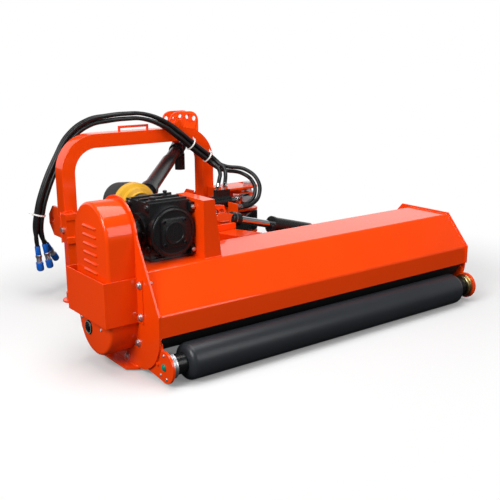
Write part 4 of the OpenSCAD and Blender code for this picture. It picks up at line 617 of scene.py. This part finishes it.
coloured = add(weld_run, "GeometryNodeSetMaterial", {"Geometry": solid.outputs[0],
                                                     "Material": given["Finish"]})
add(weld_run, "NodeGroupOutput", {0: coloured.outputs[0]})


def weld(name, runs_mm, node):
    """Weld seams along open lines of points, on the body of a node."""
    points, edges = [], []
    for run in runs_mm:
        edges += [(len(points) + i, len(points) + i + 1) for i in range(len(run) - 1)]
        points += run
    seeds = bpy.data.meshes.new(f"{name}_lines")
    seeds.from_pydata(placed(points), edges, [])
    mesh = grown(name, seeds, weld_run, {"Pitch": bead_pitch * MM, "Radius": bead_r * MM,
                                         "Seed": bead_seed, "Finish": enamel})
    mesh.polygons.foreach_set("use_smooth", [True] * len(mesh.polygons))
    show(name, mesh, enamel, node)


deck_top = 391
deck_edge = [(16, 254), (134, 389), (363, 389)]
skid_edge = [(182, 15), (396, 15)]
weld("deck_welds", [[(side * (plate_in - sunk), y, z) for y, z in deck_edge] for side in (-1, 1)],
     "deck_shell")
weld("skid_welds", [[(side * plate_out, y, z) for y, z in skid_edge] for side in (-1, 1)], "left_end_plate")

# Gearbox: a cast-iron case with a round rear flange and a cross tube to the belt drive, painted black
# as cast. A square cover with a turned middle closes the flange.
# Black paint on sand-cast iron, with the grain of the mould showing through.
cast_black = surface("black_painted_cast_iron", "#1B1C1E", "#141517", 30, 2.5, 0.3, 0.3, 0.08,
                     **{"Specular IOR Level": 0.5})
dressed("gearbox_housing", cast_black, 5)
gear_x = -655
flange_y, cover_y = 200, 190
foot_left, foot_right, foot_rear, foot_front = -738, -572, 228, 398
boss_x, collar_x, collar_r = -741, -757, 57
cover_half, cover_round = 55, 16
corner_steps = [radians(15 * i) for i in range(7)]
cover_edge = [(sx * (cover_half - cover_round) + cover_round * cos(turn + a),
               sz * (cover_half - cover_round) + cover_round * sin(turn + a))
              for sx, sz, turn in ((1, 1, 0), (-1, 1, pi / 2), (-1, -1, pi), (1, -1, 3 * pi / 2))
              for a in corner_steps]
shape = bmesh.new()
loft(shape, [placed([(gear_x + share * x, y, drive_z + share * z) for x, z in cover_edge])
             for y, share in ((flange_y, 1), (193, 1), (190.6, 0.985), (cover_y, 0.95))])
lathe(shape, placed([(gear_x, cover_y, drive_z)])[0], REAR,
      [(0, 42), (4, 41.6), (5.4, 40), (5.4, 36), (4.4, 35.2), (4.4, 12)], 64)
show("gearbox_cover_plate", meshed("gearbox_cover_plate", shape), cast_black, "gearbox_cover")
# Cast foot under the case, which stands on the deck.
shape = bmesh.new()
loft(shape, [placed([(foot_left + inset, foot_rear + inset, z), (foot_right - inset, foot_rear + inset, z),
                     (foot_right - inset, foot_front - inset, z), (foot_left + inset, foot_front - inset, z)])
             for z, inset in ((deck_top, 0), (400, 0), (403, 3), (419, 6))])
show("gearbox_foot", meshed("gearbox_foot", shape), cast_black, "gearbox_housing")
# Cast rim round the flange, and screwed bosses on the side that faces the belt drive.
shape = bmesh.new()
lathe(shape, placed([(gear_x, flange_y, drive_z)])[0], REAR,
      [(-1, 80), (2, 81), (3, 82.5), (3, 87), (2, 89), (-1, 91), (-1, 80)], 96, caps=False)
show("flange_rim", meshed("flange_rim", shape), cast_black, "gearbox_housing")
to_left = (0, -pi / 2, 0)
screwed_boss = (([(-1, 15), (6, 14), (8, 12.5), (8, 9)], 32), ([(7, 8), (8, 9), (12, 9), (13, 8)], 6))
set_out("side_bosses", small_part(*screwed_boss), [(boss_x, y, z) for y in (240, 378) for z in (438, 592)],
        to_left, cast_black, "gearbox_housing")
collar_ring = [(drive_y + collar_r * cos(a), drive_z + collar_r * sin(a))
               for a in (pi * i / 3 for i in range(6))]
set_out("collar_screws", small_part(([(-1, 5), (0, 6), (4, 6), (5, 5.2)], 6)),
        [(collar_x, y, z) for y, z in collar_ring], to_left, cast_black, "gearbox_housing")

# Gearbox screws and plugs: black socket screws in the cover, zinc-plated bolts through the ears into
# the tower, and two hexagon plugs on top, one to fill and one with the breather.
# Black-passivated zinc on the screws' heads, a dull dark metal.
black_zinc = surface("black_passivated_zinc", "#4A4C50", "#3A3C40", 8, 1.5, 0.1, 0.3, 0.06, Metallic=1.0)
to_rear = (pi / 2, 0, 0)
screw_reach = 44
set_out("cover_screws", small_part(([(0, 7.4), (2.6, 7.4), (3.8, 6.2), (3.8, 4.2), (1.2, 3.8)], 24)),
        [(gear_x + sx * screw_reach, cover_y, drive_z + sz * screw_reach)
         for sx in (-1, 1) for sz in (-1, 1)],
        to_rear, black_zinc, "gearbox_fasteners", slot="black_paint")
ear_heights = (420, 585)
set_out("tower_bolts", small_part(([(0, 9.2), (0.7, 10), (5.8, 10), (6.6, 9.2)], 6)),
        [(-547, y, z) for y in (225, 318) for z in ear_heights], (0, pi / 2, 0), zinc_plate,
        "gearbox_fasteners")
ear_nut = (([(0, 8), (0.6, 8.8), (5.4, 8.8), (6, 8)], 6), ([(0, 5), (8, 5), (9, 4)], 24))
set_out("ear_nuts", small_part(*ear_nut), [(-564, 207, z) for z in ear_heights], to_rear, zinc_plate,
        "gearbox_fasteners")
shape = bmesh.new()
fill_at, vent_at = placed([(-698, 272.5, 612), (-612, 327.5, 612)])
lathe(shape, fill_at, UP, [(0, 17), (4, 17), (5, 16)], 32)
lathe(shape, fill_at, UP, [(5, 13), (6, 14), (14, 14), (16, 12)], 6)
lathe(shape, vent_at, UP, [(0, 9), (14, 9), (15, 8)], 6)
lathe(shape, vent_at, UP, [(15, 6), (17, 8.4), (22, 8.4), (24, 6)], 24)
show("gearbox_plugs", meshed("gearbox_plugs", shape), cast_black, "gearbox_fasteners", slot="cast_black")

# Tower: a welded box of 8 mm plate that stands on the deck and carries the gearbox by its ears. It is
# enamelled with the deck, and a fillet weld runs round its foot.
dressed("gearbox_tower", enamel, 2.0)
weld("tower_weld", [[(-555, 145, deck_top), (-477, 145, deck_top), (-477, 340, deck_top)]], "gearbox_tower")

# Input shield: a stepped cone of yellow plastic clamped round the input neck, and a black rubber cuff
# pushed over its mouth, which covers the bare stub shaft.
# Yellow polypropylene, moulded, with a soft sheen.
yellow_plastic = surface("yellow_polypropylene", "#D29F1E", "#C99618", 80, 4, 0.06, 0.36, 0.04)
# Rolled steel left bare, dull and slightly mottled.
dull_steel = surface("rolled_dull_steel", "#8B8F94", "#6E7277", 25, 2, 0.25, 0.5, 0.1, Metallic=1.0)
dressed("pto_shield", yellow_plastic, 1.2)
dressed("shield_cuff", moulded_rubber, 0.8)
dressed("input_shaft", dull_steel, 1)

# Belt drive and gears behind the cover: three V-belts on cast pulleys, and the shafts in the gearbox.
# Iron and steel are left bare, and the belts are moulded rubber.
for node in ("driven_pulley", "drive_pulley", "output_shaft", "mid_shaft"):
    dressed(node, dull_steel, 1)
dressed("drive_belts", moulded_rubber, 0.8)

# Rotor: a steel tube with welded ears, running in two flange bearings, with three rows of forged
# hammer flails that swing on zinc-plated bolts.
for node, edge_mm in (("rotor", 1), ("rotor_bearings", 2), ("flails_1", 1.5), ("flails_2", 1.5),
                      ("flails_3", 1.5)):
    dressed(node, dull_steel, edge_mm)
dressed("flail_bolts", zinc_plate, 0.8)

# Front flaps: pressed steel flaps, painted black, that hang side by side on one bare steel rod along
# the front of the deck and swing back.
# Matt black dip paint, even, with hardly any shine.
flap_paint = surface("matt_black_flap_paint", "#202123", "#191A1B", 60, 4, 0.1, 0.5, 0.05)
dressed("front_flaps", flap_paint, 0.6)
dressed("flap_rod", dull_steel, 0.6)

# Hinge blocks and head: heavy plate welded in front of the deck for the tilt pin and the cylinder's
# foot, and the head that carries the pin at the end of the swing arm.
dressed("hinge_blocks", enamel, 3)
dressed("head", enamel, 3)

# Tilt cylinder: a black barrel with a screwed gland, and a hard-chromed rod with a black stop collar.
# The barrel's foot is pinned to the deck and the rod's end to the head.
# Hard chrome, ground and polished, with a mirror finish.
hard_chrome = surface("hard_chrome", "#E8EAEC", "#DFE1E4", 60, 4, 0.02, 0.08, 0.02, Metallic=1.0)
dressed("tilt_barrel", black_enamel, 2)
dressed("tilt_rod", hard_chrome, 1)
foot, pin = placed([(430, 612, 272), (-170, 612, 430)])
to_foot = (foot - pin).normalized()
show("stop_collar", turned("stop_collar", pin, to_foot, [
    (70, 19), (70, 29), (71.5, 30.6), (88, 30.6), (89, 29.6), (91, 29.6), (92, 30.6), (117.5, 30.6),
    (119, 29), (119, 19)], 48), black_enamel, "tilt_rod", slot="black_paint")

# Side shift: black box-section arm and tie link between the frame's bracket and the head, on an
# upright zinc-plated shaft with nuts, turned by a slotted lever.
dressed("swing_arm", black_enamel, 3)
dressed("tie_link", black_enamel, 3)
dressed("swing_shaft", zinc_plate, 1.5)
dressed("swing_bracket", enamel, 2)

# Offset cylinder: lies across the back of the frame, with its port block on top and a chromed rod;
# its hose fittings are chromed too.
dressed("offset_barrel", black_enamel, 2)
dressed("offset_rod", hard_chrome, 1)
dressed("hose_fittings", hard_chrome, 1)

# Hitch frame: a rectangular tube bent to an arch, welded to a cross beam with the lower link plates,
# and two plates on top with an arc of holes for the top link. A wire guide leads the hoses over it.
dressed("a_frame", enamel, 9)
dressed("cross_beam", enamel, 3)
dressed("top_link_plates", enamel, 1.2, fold_mm=22)
dressed("frame_hooks", enamel, 1)

# Parking stand: a square leg with a round foot in a welded sleeve, held by a zinc-plated clamp screw.
# Leg and sleeve are enamelled as the frame is.
dressed("stand_sleeve", enamel, 2)
dressed("stand_leg", enamel, 2)
dressed("stand_clamp", zinc_plate, 1)
weld("sleeve_welds", [[(x, 1149, z) for z in (285, 425)] for x in (-694, -636)], "stand_sleeve")

# Drive shaft: hung up under the arch by its ring; two black guard tubes that slide in each other, and
# the forged yoke for the tractor's stub hanging from the cross.
dressed("pto_lower", guard_plastic, 1.5)
dressed("pto_upper", guard_plastic, 1.5)
dressed("pto_end_yoke", guard_plastic, 2)
